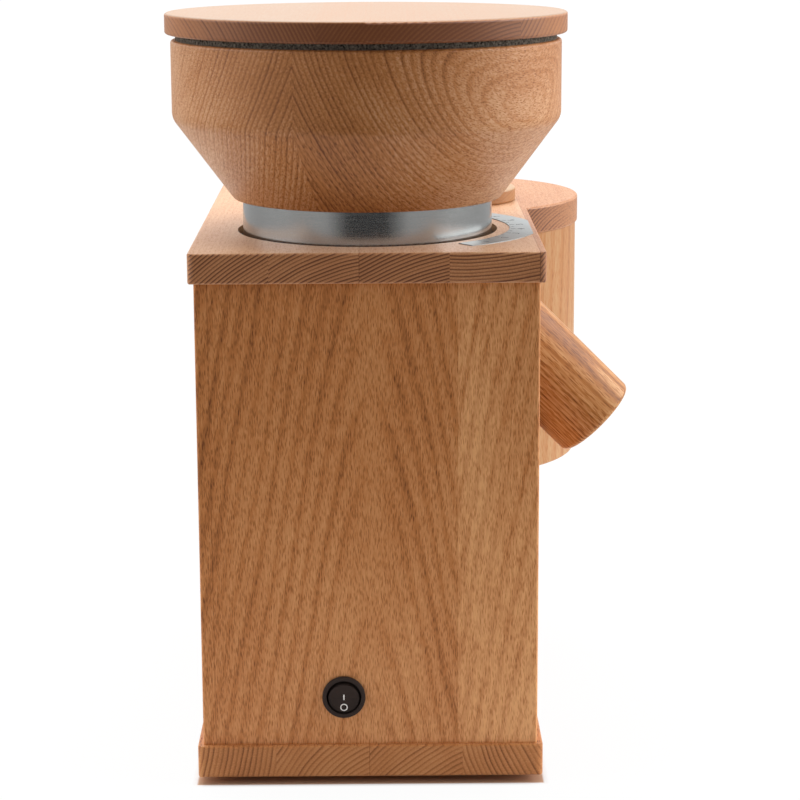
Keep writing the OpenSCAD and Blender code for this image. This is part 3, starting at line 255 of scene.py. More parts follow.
# Lengths are in mm, and a share is a part of the way from pale to deep.
PLAIN_LOOK = dict(
    spacing=4.2, taper=0.0, wave=9, wave_l=250,              # rings: distance, slant, wander and its length
    ring=0.22, ring_end=0.3, soft=False, calm=0.0,           # shares on a face and on an end; profile; quiet middle
    fleck=0.34, fleck_w=1.0, fleck_l=5.0, fleck_share=0.75,  # flecks: share, width, length, cells that have one
    fine=0.4, fine_l=9.0, patch=0.5,                         # pores: share and length; share of the patches
    level=0.4, end=0.12, rise=0.0, side=0.0, joint=0.3,      # darkness of all, of ends, painted shade per metre along the grain and on side faces, of glue
    gloss=0.28, pale="#DDA872", middle="#BC7A46", deep="#6E3C1C")
print("beech look:", PLAIN_LOOK)

# %% [markdown]
# ## Glued boards
# The two boards of the case are glued from staves about 46 mm wide, and each stave comes from
# another part of the tree. Each could be a mesh of its own, but a board is one solid, so a table in
# the material gives each stave its own pith and its own tone. A ramp with constant steps is a handy
# table: its stops hold numbers in place of colours. A glue line is a hair of dark between staves.

# %% A table of piths
def pith_table(tree, index, rows):
    """Looks up (first offset, second offset, tone) of a numbered stave. A ramp holds no negative number,
    so each value is stored with 0.5 added; the offsets come back in metres."""
    place = add(tree, "Math", {0: add(tree, "Math", {0: index, 1: 0.5}), 1: len(rows)}, operation="DIVIDE")
    stops = [(i / len(rows), (a * MM + 0.5, b * MM + 0.5, c + 0.5)) for i, (a, b, c) in enumerate(rows)]
    row = add(tree, "ValToRGB", {"Fac": place}, stops=stops, steps="CONSTANT")
    table = add(tree, "SeparateColor", {"Color": row}, out=None)
    return [add(tree, "Math", {0: value, 1: 0.5}, operation="SUBTRACT") for value in table.outputs[:3]]


END_FROM, END_TO = 0.4, 0.9            # how squarely the grain is cut where a mask of the end grain starts and ends
RIM_SIDE = 0.68                        # the mask beside the ends of a turned rim, which is cut at a slant there
RIM_FROM, RIM_TO = 0.4, 1.0            # mm below the top face where the mask of a rim starts and is full


def rim_mask(tree, along, upright, rim):
    """End grain of a disc from its place: |along - middle| / radius, below the top level only; rim is in mm."""
    middle, radius, top = (v * MM for v in rim)
    end = add(tree, "Math", {0: along, 1: middle}, operation="SUBTRACT")
    end = add(tree, "Math", {0: end, 1: radius}, operation="DIVIDE")
    end = add(tree, "Math", {0: end}, operation="ABSOLUTE")
    end = add(tree, "MapRange", {"Value": end, "From Min": END_FROM, "From Max": END_TO,
                                 "To Min": RIM_SIDE, "To Max": 1.0})
    below = add(tree, "MapRange", {"Value": upright, "From Min": top - RIM_TO * MM, "From Max": top - RIM_FROM * MM,
                                   "To Min": 1.0, "To Max": 0.0})
    return add(tree, "Math", {0: end, 1: below}, operation="MULTIPLY")


print("end grain from", [round(math.degrees(math.acos(v))) for v in (END_FROM, END_TO)], "degrees off the grain")

# %% Staves side by side
CALM_RINGS = 0.1                       # how plainly the rings show right above a pith, where look["calm"] asks for it


def stave_beech(name, across, upright, along, start, width, rows, look, glue=0.3, rim=None, mirror=None):
    """Beech glued from staves. across, upright and along name the axes X, Y or Z; start, width and glue are
    in mm. The mask of the end grain comes from the surface's direction, or on a disc from rim_mask().
    mirror is the mm place of a middle plane: upright then counts as minus the distance from it."""
    material, tree = new_material(name)
    spot = add(tree, "TexCoord", out=None)
    axes = add(tree, "SeparateXYZ", {0: spot.outputs["Object"]}, out=None).outputs
    faces = add(tree, "SeparateXYZ", {0: spot.outputs["Normal"]}, out=None).outputs
    s, t, g = axes[across], axes[upright], axes[along]
    if mirror is not None:
        t = add(tree, "Math", {0: t, 1: mirror * MM}, operation="SUBTRACT")
        t = add(tree, "Math", {0: add(tree, "Math", {0: t}, operation="ABSOLUTE"), 1: -1.0}, operation="MULTIPLY")
    count = add(tree, "Math", {0: s, 1: start * MM}, operation="SUBTRACT")
    count = add(tree, "Math", {0: count, 1: width * MM}, operation="DIVIDE")
    index = add(tree, "Math", {0: count}, operation="FLOOR")
    index = add(tree, "Clamp", {"Value": index, "Min": 0.0, "Max": len(rows) - 1.0})
    first, second, tone = pith_table(tree, index, rows)
    joint = add(tree, "Math", {0: count, 1: 1.0}, operation="PINGPONG")
    joint = add(tree, "MapRange", {"Value": joint, "From Max": glue / width, "To Min": look["joint"], "To Max": 0.0})
    tone = add(tree, "Math", {0: tone, 1: joint})
    # Painted shade: faces that don't look up are darkened by look["side"], so that a top reads paler than its sides.
    upward = add(tree, "Math", {0: faces[upright]}, operation="ABSOLUTE")
    side_shade = add(tree, "Math", {0: 1.0, 1: upward}, operation="SUBTRACT")
    tone = add(tree, "Math", {0: side_shade, 1: look["side"], 2: tone}, operation="MULTIPLY_ADD")
    p = add(tree, "Math", {0: s, 1: first}, operation="SUBTRACT")
    q = add(tree, "Math", {0: t, 1: second}, operation="SUBTRACT")
    seed = add(tree, "Math", {0: index, 1: 0.73}, operation="MULTIPLY")
    if rim:
        end = rim_mask(tree, g, t, rim)
    else:
        end = add(tree, "Math", {0: faces[along]}, operation="ABSOLUTE")
        end = add(tree, "MapRange", {"Value": end, "From Min": END_FROM, "From Max": END_TO})
    clear = 1.0
    if look["calm"]:
        aside = add(tree, "Math", {0: p}, operation="ABSOLUTE")
        clear = add(tree, "MapRange", {"Value": aside, "From Max": look["calm"] * MM,
                                       "To Min": CALM_RINGS, "To Max": 1.0})
    beech_surface(tree, p, q, g, seed, tone, end, look, clear)
    return material


# Glue blocks inside: sawn beech without oil, a plain even brown.
raw_beech = stave_beech("beech_raw_sawn", "X", "Y", "Z", -200.0, 400.0, [(40, 300, -0.05)], PLAIN_LOOK)
print("first board:", raw_beech.name)

# %% The boards and panels of the case
# Rows are (pith across, pith upright, tone): positions in mm in the mill's own axes.
# Close rings on the board's ends: slow-grown wood, whose end grain is dark and lively to the eye.
# side paints shade on the faces that don't look up, so that the top reads paler than its edges.
top_beech = stave_beech(
    "beech_board_glued_oiled", "X", "Z", "Y", -114.5, 46.5,
    [(87, 37, 0.02), (-3.7, 187.7, 0.0), (56, 145, 0.04), (34, 455, 0.0), (110, 250, 0.2)],
    dict(PLAIN_LOOK, spacing=1.8, ring=0.08, ring_end=1.0, wave=3, end=0.1, side=0.14, patch=0.25, fleck=0.16,
         gloss=0.38, level=0.22, pale="#E4BF98", middle="#BA7E52", deep="#6C4028"))
# Wider rings, faint and steep: a calm base whose end reads as a brown band.
base_beech = stave_beech(
    "beech_base_glued_oiled", "X", "Z", "Y", -117.7, 49.9,
    [(-300, 45, 0.02), (20, -50, 0.0), (60, -60, 0.03), (230, 90, 0.0)],
    dict(PLAIN_LOOK, spacing=2.6, ring_end=0.5, wave=8, end=0.06, fine=0.5, level=0.34))
# Flat-sawn wood, with painted shade from rise that darkens it towards the top. Its single rings are too fine
# to show there, so they are drawn as bands of two or three, which give broad soft arches; short dark flecks make the
# face lively.
panel_beech = stave_beech(
    "beech_end_panel_flat_sawn", "X", "Y", "Z", -100.0, 129.5,
    [(-15.6, -176, 0.02), (300, -128, -0.19)],
    dict(PLAIN_LOOK, spacing=8.5, taper=0.2, wave=14, wave_l=455, ring=0.27, fleck_w=0.5, fleck_l=4.2,
         fleck_share=0.85, fleck=0.36, fine=0.85, fine_l=7.0, rise=0.65, level=0.23, soft=True, calm=16,
         pale="#E9AD75", middle="#C27B44"), mirror=8.05)
# The same cut on the long sides, with calmer arches that the eye reads as one wide board.
side_beech = stave_beech(
    "beech_side_panel_flat_sawn", "Y", "X", "Z", -170.0, 86.0,
    [(-120, -102, 0.0), (-60, -112, 0.04), (60, -102, -0.03), (150, -142, 0.02)],
    dict(PLAIN_LOOK, spacing=6.0, taper=-0.1, wave=10, wave_l=455, patch=0.35), mirror=-17.4)
# Bent veneer on the column: pale and nearly plain, with faint upright bands.
column_beech = stave_beech(
    "beech_column_bent", "Y", "X", "Z", -200.0, 400.0, [(30, -200, -0.04)],
    dict(PLAIN_LOOK, spacing=5.5, taper=-0.03, wave=10, wave_l=667, ring=0.26, fleck=0.16, fine=0.55,
         patch=0.4, level=0.36, pale="#CCAE80", middle="#B87C4A"))
print("glued beech:", [m.name for m in (top_beech, base_beech, panel_beech, side_beech, column_beech)])

# %% [markdown]
# ## The hopper: three wedges in a ring
# The hopper is turned from thick blocks that meet along planes through its axis. A pattern bent
# round the bowl would never close into ovals, so the solid wood is cut here as well. The grain of
# each block runs level, along its own chord: a closed oval shows where the turning just grazes a
# ring, and the rings meet in a pointed arch at a glue line. The stem of each tree was bent: the
# pith rises by bow * (g / 0.1 m)^2, and so the rings lean more, the nearer they are to the glue line.

# %% Wedge beech for the turned hopper
MILL_X, MILL_Y = -17.406, -70.45       # the hopper's axis, in mm
WEDGES = 3
FIRST_SEAM = math.radians(-20.5)       # a glue line, counted from the front towards the spout
FAINT_AT, PLAIN_AT = 32, 88            # |g| in mm where the rings are faintest and where they are plain
FAINT_SHARE = 0.3                      # how plainly the faintest rings show
PLAIN_RING_SHADE = 0.18                      # painted shade: wood with plain rings is darker by this much, which darkens the hopper's front


def wedge_beech(name, rows, look):
    """Beech of a glued ring. n = outward distance along the pith's own bearing, g = distance square to it.
    A row is (bearing of the pith in degrees, its distance, its level, bow, tone, calm) with lengths in mm.
    The rings fade towards g = 0, from PLAIN_AT + calm to FAINT_AT + calm."""
    material, tree = new_material(name)
    spot = add(tree, "TexCoord", out=None)
    centred = add(tree, "Mapping", {"Vector": spot.outputs["Object"], "Location": (-MILL_X * MM, -MILL_Y * MM, 0)})
    axes = add(tree, "SeparateXYZ", {0: centred}, out=None).outputs
    front = add(tree, "Math", {0: axes["Y"], 1: -1.0}, operation="MULTIPLY")
    turn = add(tree, "Math", {0: axes["X"], 1: front}, operation="ARCTAN2")
    turn = add(tree, "Math", {0: turn, 1: FIRST_SEAM}, operation="SUBTRACT")
    turn = add(tree, "Math", {0: turn, 1: 2 * math.pi}, operation="FLOORED_MODULO")
    index = add(tree, "Math", {0: turn, 1: 2 * math.pi / WEDGES}, operation="DIVIDE")
    index = add(tree, "Math", {0: index}, operation="FLOOR")
    bearing, out, calm = pith_table(tree, index, [(*row[:2], row[5] * MM) for row in rows])
    level, bow, tone = pith_table(tree, index, [row[2:5] for row in rows])
    bearing = add(tree, "Math", {0: bearing, 1: math.radians(1) / MM}, operation="MULTIPLY")
    sine = add(tree, "Math", {0: bearing}, operation="SINE")
    cosine = add(tree, "Math", {0: bearing}, operation="COSINE")
    n = add(tree, "Math", {0: front, 1: cosine}, operation="MULTIPLY")
    n = add(tree, "Math", {0: axes["X"], 1: sine, 2: n}, operation="MULTIPLY_ADD")
    back = add(tree, "Math", {0: front, 1: sine}, operation="MULTIPLY")
    g = add(tree, "Math", {0: axes["X"], 1: cosine}, operation="MULTIPLY")
    g = add(tree, "Math", {0: g, 1: back}, operation="SUBTRACT")
    rise = add(tree, "Math", {0: add(tree, "Math", {0: g, 1: 0.1}, operation="DIVIDE"), 1: 2.0}, operation="POWER")
    level = add(tree, "Math", {0: rise, 1: bow, 2: level}, operation="MULTIPLY_ADD")
    p = add(tree, "Math", {0: n, 1: out}, operation="SUBTRACT")
    q = add(tree, "Math", {0: axes["Z"], 1: level}, operation="SUBTRACT")
    seed = add(tree, "Math", {0: index, 1: 0.61}, operation="MULTIPLY")
    aside = add(tree, "Math", {0: add(tree, "Math", {0: g}, operation="ABSOLUTE"), 1: calm}, operation="SUBTRACT")
    clear = add(tree, "MapRange", {"Value": aside, "From Min": FAINT_AT * MM, "From Max": PLAIN_AT * MM,
                                   "To Min": FAINT_SHARE, "To Max": 1.0})
    # Painted shade: the wood darkens where its rings are plain, on the hopper's front, and stays paler on the side
    # that the main lamp lights.
    tone = add(tree, "Math", {0: clear, 1: PLAIN_RING_SHADE, 2: tone}, operation="MULTIPLY_ADD")
    beech_surface(tree, p, q, g, seed, tone, 0.0, look, clear)
    return material


# Strong dark ring lines on a turned surface: the eye follows them round as arches and ovals.
hopper_beech = wedge_beech(
    "beech_wedges_turned_oiled",
    [(51.0, 132, 362, 66, -0.02, -12), (166.0, 150, 380, 50, 0.0, 0), (-94.0, 400, 500, 50, -0.04, 10)],
    dict(PLAIN_LOOK, spacing=3.1, wave=5, wave_l=100, ring=0.44, fleck_w=0.6, fleck_l=2.2, fleck=0.34,
         fleck_share=0.7, fine=0.7, fine_l=3.0, patch=0.45, level=0.3, pale="#E6BC94", middle="#B87844"))
print("wedges:", WEDGES, "of", 360 / WEDGES, "degrees")

# %% [markdown]
# ## Lids and spout
# A lid is a disc turned from three glued boards. Its face shows long grain, and its rim shows end
# grain at two sides that passes slowly into long grain between them. The direction of the surface
# would draw a hard line there, so the mask comes from the place on the disc. The spout is one
# stick, turned along its grain and set at 45 degrees, so its pattern leans by the same angle.

# %% Lids from three boards
LID_ROWS = [(-200, 330, 0.0), (70, 330, 0.04), (-60, 480, 0.0)]
LID_LOOK = dict(PLAIN_LOOK, spacing=2.0, ring=0.05, ring_end=0.34, wave=4, end=0.8, patch=0.12, fleck=0.08,
                fine=0.16, level=0.08, joint=0.0, gloss=0.35, pale="#B29A84")
# The big lid: a bleached face over a dark brown rim with close slanting lines.
lid_beech = stave_beech("beech_lid_glued_turned", "X", "Z", "Y", -146.0, 104.0, LID_ROWS, LID_LOOK,
                        rim=(MILL_Y, 108.6, 405.5))
# The small lid: a little warmer, with a plain rim.
small_lid_beech = stave_beech("beech_small_lid_turned", "X", "Z", "Y", -146.0, 104.0, LID_ROWS,
                              dict(LID_LOOK, end=0.34, ring_end=0.2, level=0.2, pale="#C4AE8C", middle="#AE7A4A"),
                              rim=(53.75, 40.0, 295.3))
print("lids:", lid_beech.name, small_lid_beech.name)


# %% One stick, turned
def turned_stick(name, tilt, pith, look):
    """Beech of one stick, whose grain leans by tilt degrees from level towards -Z on the +X side.
    pith is its place (Y, Z) in mm in the leaned axes."""
    material, tree = new_material(name)
    spot = add(tree, "TexCoord", out=None)
    leaned = add(tree, "Mapping", {"Vector": spot.outputs["Object"], "Rotation": (0, -math.radians(tilt), 0)})
    axes = add(tree, "SeparateXYZ", {0: leaned}, out=None).outputs
    p = add(tree, "Math", {0: axes["Y"], 1: pith[0] * MM}, operation="SUBTRACT")
    q = add(tree, "Math", {0: axes["Z"], 1: pith[1] * MM}, operation="SUBTRACT")
    beech_surface(tree, p, q, axes["X"], 0.3, 0.0, 0.0, look)
    return material


# Turned along the grain: fine broken streaks run down the tube.
spout_beech = turned_stick("beech_spout_turned", 45.0, (-20, 130), dict(
    PLAIN_LOOK, spacing=2.0, wave=6, ring=0.45, fleck=0.34, fleck_w=0.7, fleck_l=6.0, fine=0.8, fine_l=14.0,
    patch=0.2, level=0.29, pale="#E4B57E", middle="#B6763C"))
print("spout:", spout_beech.name)

# %% [markdown]
# ## Metals
# The collar is stainless steel, brushed round its axis: the scratches run level, so the light
# spreads up and down. The plate is bare aluminium with a satin face. An anisotropic shader could
# stretch the highlights alone. Here a noise that is stretched along the scratches changes colour,
# roughness and height together, so that single scratches show as well.

# %% Brushed steel and aluminium
METAL_SPAN = (0.7, 1.3)                # the sum of two noises stays mostly between these


def brushed_metal(name, colour, rough, scratch_mm, grain_mm=0.7, contrast=0.14):
    """Metal with fine scratches. scratch_mm is their size along X, Y and Z, short across the scratches."""
    material, tree = new_material(name)
    place = add(tree, "TexCoord", out="Object")
    lines = add(tree, "Mapping", {"Vector": place, "Scale": tuple(per(side) for side in scratch_mm)})
    lines = add(tree, "TexNoise", {"Vector": lines, "Scale": 1.0, "Detail": 4.0, "Roughness": 0.7})
    grain = add(tree, "TexNoise", {"Vector": place, "Scale": per(grain_mm), "Detail": 2.0})
    both = add(tree, "Math", {0: lines, 1: grain})
    span = {"Value": both, "From Min": METAL_SPAN[0], "From Max": METAL_SPAN[1]}
    shade = add(tree, "MapRange", {**span, "To Min": 1 - contrast, "To Max": 1 + contrast})
    tint = add(tree, "VectorMath", {0: linear(colour)[:3], "Scale": shade}, operation="SCALE")
    bump = add(tree, "Bump", {"Height": both, "Strength": 0.25, "Distance": 0.02 * MM})
    scuffed = add(tree, "MapRange", {**span, "To Min": rough - 0.05, "To Max": rough + 0.05})
    metal = add(tree, "BsdfPrincipled", {"Base Color": tint, "Metallic": 1.0, "Roughness": scuffed, "Normal": bump})
    add(tree, "OutputMaterial", {"Surface": metal}, out=None)
    return material


# Soft level bands of grey with a dark middle, where the room in front shows in the round steel.
collar_steel = brushed_metal("stainless_steel_brushed_round", "#A3A4A3", 0.2, (16, 16, 0.3), 0.6, 0.1)
# An even pale grey with a little sparkle.
plate_aluminium = brushed_metal("aluminium_satin", "#979C9D", 0.42, (2, 0.4, 0.4), 0.8, 0.16)
# Screws: a bright bluish grey, slightly uneven.
screw_zinc = brushed_metal("steel_zinc_plated", "#C9CBCC", 0.35, (1.1, 1.1, 1.1))
# Shafts and rings off the lathe: level tool lines that glint in turn.
turned_steel = brushed_metal("steel_turned", "#B9BABC", 0.28, (3.3, 3.3, 0.3))
# Castings: a soft, cloudy light grey.
cast_aluminium = brushed_metal("aluminium_die_cast", "#B4B6B9", 0.5, (2.5, 2.5, 2.5))
# Funnels and chutes: smooth, with a broad clear shine.
sheet_steel = brushed_metal("stainless_sheet", "#C4C5C6", 0.34, (5, 5, 0.5))
# Ground rollers: fine lines along their length, darker than the shafts.
roller_steel = brushed_metal("roller_steel_ground", "#B0B1B3", 0.3, (5, 0.4, 0.4))
# Cut brass: warm yellow, with crisp small highlights on the teeth.
brass_metal = brushed_metal("brass_machined", "#D0A968", 0.3, (1.4, 1.4, 1.4))
print("metals:", collar_steel.name, plate_aluminium.name)

# %% [markdown]
# ## Plastics, rubber, stone and paint
# The switch is moulded ABS with a fine spark texture, the feet are matt rubber, the stones are
# bonded corundum. Each could have nodes of its own, but what the eye needs is the same for all: a
# grit of the right size, in height and a little in tone. A flat colour would look like a toy.

# %% Moulded and bonded surfaces
def moulded(name, colour, rough, grit_mm, depth_mm, speck=0.06, gloss=0.5):
    """A moulded or bonded surface: grit of one size gives both a faint bump and a faint change of tone."""
    material, tree = new_material(name)
    place = add(tree, "TexCoord", out="Object")
    grit = add(tree, "TexNoise", {"Vector": place, "Scale": per(grit_mm), "Detail": 3.0, "Roughness": 0.6})
    shade = add(tree, "MapRange", {"Value": grit, "From Min": 0.3, "From Max": 0.7,
                                   "To Min": 1 - speck, "To Max": 1 + speck})
    tint = add(tree, "VectorMath", {0: linear(colour)[:3], "Scale": shade}, operation="SCALE")
    bump = add(tree, "Bump", {"Height": grit, "Strength": 0.4, "Distance": depth_mm * MM})
    skin = add(tree, "BsdfPrincipled", {"Base Color": tint, "Roughness": rough, "Normal": bump, "IOR": 1.5,
                                        "Specular IOR Level": gloss})
    add(tree, "OutputMaterial", {"Surface": skin}, out=None)
    return material


# A deep warm black with hardly any shine, so that rocker and rim read as one disc.
switch_abs = moulded("abs_black_spark_texture", "#362C28", 0.5, 0.5, 0.01, gloss=0.1)
# Nylon parts: near black, satin, a little cloudy from the glass in it.
nylon = moulded("nylon_glass_filled", "#2B2A29", 0.55, 0.7, 0.04)
# Feet: a dull black without any shine.
rubber = moulded("rubber_matt", "#232323", 0.8, 1.0, 0.05)
# Stones: chalky off-white, with a coarse grain that breaks the light up.
corundum = moulded("corundum_bonded", "#CFC9BD", 0.9, 1.2, 0.3, 0.2)
# Iron core: dark blue-grey under thin varnish.
lamination = moulded("lamination_varnished", "#4A4A50", 0.5, 0.8, 0.05)
# Windings: red-brown enamel whose wire bundles catch the light.
copper = moulded("copper_wire_enamelled", "#9A4A20", 0.35, 0.9, 0.2, 0.25)
# Fan: dark grey, evenly satin.
grey_plastic = moulded("polyamide_grey", "#3A3A3C", 0.5, 0.8, 0.03)
# Capacitor: plain warm white, slightly waxy.
white_plastic = moulded("polypropylene_white", "#DAD9D4", 0.45, 0.8, 0.02)
# Motor shields: deep black paint with a soft gloss.
motor_paint = moulded("enamel_black", "#1E1E21", 0.4, 1.0, 0.03)
# Pad-printed white, flat and even; and etched grey strokes that only just show on the plate.
mark_white = moulded("marking_paint_white", "#F2EFEA", 0.5, 0.6, 0.005)
mark_dark = moulded("marking_etched_dark", "#45494B", 0.5, 0.6, 0.005)
# Wool felt drinks the light; its fibres, drawn as 1 mm tufts so that they show, give a coarse speckle.
felt = moulded("wool_felt_pressed", "#6A645B", 0.95, 1.1, 0.5, 1.1, gloss=0.1)
print("moulded:", switch_abs.name, felt.name)

# %% [markdown]
# ## Dress the solids
# Each solid keeps its shape, and only its material is changed. This could be done by hand for each
# of the 57, but the record's slot names group most of them, and only the visible wooden pieces
# need a cut of their own.

# %% Assign the finishes
BY_SLOT = {
    "beech_board": side_beech, "beech_turned": lid_beech, "beech_block": raw_beech,
    "brushed_collar": collar_steel, "scale_metal": plate_aluminium, "felt": felt, "nylon_black": nylon,
    "switch_black": switch_abs, "foot_rubber": rubber, "screw_steel": screw_zinc, "millstone": corundum,
    "cast_metal": cast_aluminium, "machined_steel": turned_steel, "lamination": lamination,
    "copper_winding": copper, "fan_plastic": grey_plastic, "capacitor_white": white_plastic,
    "gear_brass": brass_metal, "roller_steel": roller_steel, "sheet_steel": sheet_steel, "motor_paint": motor_paint}
BY_NODE = {
    "top_board": top_beech, "base_board": base_beech, "switch_panel": panel_beech, "end_panel": panel_beech,
    "column_shell": column_beech, "hopper": hopper_beech, "spout": spout_beech, "flaker_lid": small_lid_beech}
for part in frame["record"]["subparts"]:
    solid = frame["nodes"][part["node"]]
    finish = BY_NODE.get(part["node"], BY_SLOT[part["material_slot"]])
    solid.data.materials.clear()
    solid.data.materials.append(finish)

# %% [markdown]
# ## Printed marks on the switch
# The rocker carries a white bar and ring for on and off. On the real switch they are printed, a
# film of ink on a face that has a flat above and a flat below its middle. A decal image would do
# in a game, but a mesh stays sharp and moves with the rocker. Each mark is a small rectangle
# carried along a path, and every point is then laid on the bent face.

# %% A band carried along a path
def banded(path, side, half_width, top, below, closed):
    """Corners of a rectangle carried along path (n x 2) with its sideways directions side (n x 2), as (n, 4, 3):
    path + side * +-half_width in the plane, and height top or -below as the third number."""
    signs = np.array([-1, 1, 1, -1.0])
    flat = path[:, None, :] + side[:, None, :] * (signs * half_width)[None, :, None]
    height = np.broadcast_to(np.array([top, top, -below, -below]), flat.shape[:2])
    corners = np.concatenate([flat, height[..., None]], axis=2)
    n = len(path)
    i = np.arange(n if closed else n - 1)[:, None]
    j = np.arange(4)[None, :]
    here, ahead = 4 * i, 4 * ((i + 1) % n)
    quads = np.stack([here + j, here + (j + 1) % 4, ahead + (j + 1) % 4, ahead + j], axis=-1).reshape(-1, 4)
    if not closed:
        quads = np.concatenate([quads, [[3, 2, 1, 0]], [np.arange(4) + 4 * (n - 1)]])
    return corners, quads


def mesh_piece(name, corners, faces, material, body):
    """A mesh object from its points in metres and its faces, which rides on a body of the frame."""
    mesh = bpy.data.meshes.new(name)
    mesh.from_pydata(corners.reshape(-1, 3).tolist(), [], [face.tolist() for face in faces])
    mesh.materials.append(material)
    made = bpy.data.objects.new(name, mesh)
    bpy.context.scene.collection.objects.link(made)
    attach(made, body)
    return made


square = np.array([[0.0, 0.0], [1.0, 0.0]])
print("a straight band has", len(banded(square, square, 1, 1, 0, closed=False)[1]), "faces")

# %% The bar and the ring
ROCKER = np.array([-31.406, -156.95, 48.0])      # pivot of the rocker, in mm
ROCKER_TILT = math.radians(8.0)
FACE_DEPTH = 3.6                       # mm from the pivot to the face, at its middle
FACE_RISE, FACE_HALF = 1.2, 9          # mm that each flat gains outwards, over this height
INK_TOP, INK_BELOW = 0.04, 0.15        # mm of ink above the face and sunk below it, so that no gap shows
BAR_PATH, BAR_HALF = (-1.1, 2.1), 0.34           # mm: heights of the bar's two ends, and half its width
RING_RADIUS, RING_UP, RING_HALF = 1.72, -5.2, 0.28   # mm: the ring, its middle's height, and half its line


def on_rocker(corners):
    """Lays (across, up, out) in mm on the rocker: depth = FACE_DEPTH + FACE_RISE * |up| / FACE_HALF + out from the
    pivot, then the tilt about X."""
    across, up, out = corners[..., 0], corners[..., 1], corners[..., 2]
    depth = FACE_DEPTH + FACE_RISE * np.abs(up) / FACE_HALF + out
    y = -depth * math.cos(ROCKER_TILT) - up * math.sin(ROCKER_TILT)
    z = -depth * math.sin(ROCKER_TILT) + up * math.cos(ROCKER_TILT)
    return (np.stack([across, y, z], axis=-1) + ROCKER) * MM


up = np.linspace(*BAR_PATH, 17)
bar_path = np.stack([0 * up, up], axis=1)
bar_side = np.stack([0 * up + 1, 0 * up], axis=1)
bar, bar_quads = banded(bar_path, bar_side, BAR_HALF, INK_TOP, INK_BELOW, closed=False)
bar_mark = mesh_piece("rocker_mark_on", on_rocker(bar), bar_quads, mark_white, "rocker_body")

turn = np.linspace(0, 2 * math.pi, 48, endpoint=False)
spoke = np.stack([np.cos(turn), np.sin(turn)], axis=1)
ring_path = RING_RADIUS * spoke + [0, RING_UP]
ring, ring_quads = banded(ring_path, spoke, RING_HALF, INK_TOP, INK_BELOW, closed=True)
ring_mark = mesh_piece("rocker_mark_off", on_rocker(ring), ring_quads, mark_white, "rocker_body")
print("marks:", bar_mark.name, ring_mark.name)

# %% [markdown]
# ## The scale
# The crescent beside the hopper carries ticks and numbers, which tell how far the stones are
# opened. They are etched grey, so they stay faint. A mask in the plate's material could draw the
# ticks but hardly the numbers, so both are thin meshes. The numbers are set as text, turned into a
# mesh, and only then laid along the arc, their feet towards the spout side where the reader stands.

# %% Ticks
PLATE_TOP = 287.9                      # level of the plate, in mm
TICK_END, TICK_STEP = 42.0, 6.0        # degrees from the spout's side to the last tick, and between ticks
TICK_FOOT, TICK_HALF = 78.8, 0.3       # mm from the mill's axis to a tick, and half a tick's width
LONG_TICK, SHORT_TICK = 2.6, 1.6       # mm
ETCH_TOP, ETCH_BELOW = 0.05, 0.1       # mm above the plate and sunk below its face


def at_plate(points, angle):
    """Points (outward, aside, up) in mm, turned to angle about the mill's axis and set on the plate, in metres."""
    outward, aside, up = points[..., 0], points[..., 1], points[..., 2]
    x = outward * math.cos(angle) - aside * math.sin(angle) + MILL_X
    y = outward * math.sin(angle) + aside * math.cos(angle) + MILL_Y
    return np.stack([x, y, up + PLATE_TOP], axis=-1) * MM


angles = np.radians(np.arange(-TICK_END, TICK_END + 0.1, TICK_STEP))
tick_corners, tick_quads = [], []
for number, angle in enumerate(angles):
    length = LONG_TICK if number % 2 == 0 else SHORT_TICK
    path = np.array([[TICK_FOOT, 0.0], [TICK_FOOT + length, 0.0]])
    side = np.array([[0.0, 1.0], [0.0, 1.0]])
    corners, quads = banded(path, side, TICK_HALF, ETCH_TOP, ETCH_BELOW, closed=False)
    tick_corners.append(at_plate(corners, angle).reshape(-1, 3))
    tick_quads.append(quads + len(tick_corners[0]) * number)
ticks = mesh_piece("scale_ticks", np.concatenate(tick_corners), np.concatenate(tick_quads),
                   mark_dark, "case")
print("ticks:", len(angles))

# %% Numbers
NUMBER_SIZE, NUMBER_OUT = 5.6, 84.6    # mm: size of the type, and its middle's distance from the mill's axis
NUMBER_RAISE = 0.06                    # mm that a number stands above the plate, and as much below its face
WELD_MM = 0.001                        # corners closer than this are one


def number_mesh(text, size):
    """Corners (n x 3, in the text's own plane) and faces of a number as a thin slab, from the built-in typeface."""
    curve = bpy.data.curves.new("number", "FONT")
    curve.body, curve.size, curve.extrude, curve.resolution_u = text, size, NUMBER_RAISE, 3
    curve.align_x, curve.align_y = "CENTER", "CENTER"
    carrier = bpy.data.objects.new("number", curve)
    bpy.context.scene.collection.objects.link(carrier)
    flat = bpy.data.meshes.new_from_object(carrier.evaluated_get(bpy.context.evaluated_depsgraph_get()))
    bpy.data.objects.remove(carrier)
    welded = bmesh.new()
    welded.from_mesh(flat)
    bmesh.ops.remove_doubles(welded, verts=welded.verts, dist=WELD_MM)
    bmesh.ops.recalc_face_normals(welded, faces=welded.faces)
    welded.to_mesh(flat)
    welded.free()
    corners = np.empty(3 * len(flat.vertices))
    flat.vertices.foreach_get("co", corners)
    around, starts = np.empty(len(flat.loops), np.int32), np.empty(len(flat.polygons), np.int32)
    flat.loops.foreach_get("vertex_index", around)
    flat.polygons.foreach_get("loop_start", starts)
    bpy.data.meshes.remove(flat)
    return corners.reshape(-1, 3), np.split(around, starts[1:])


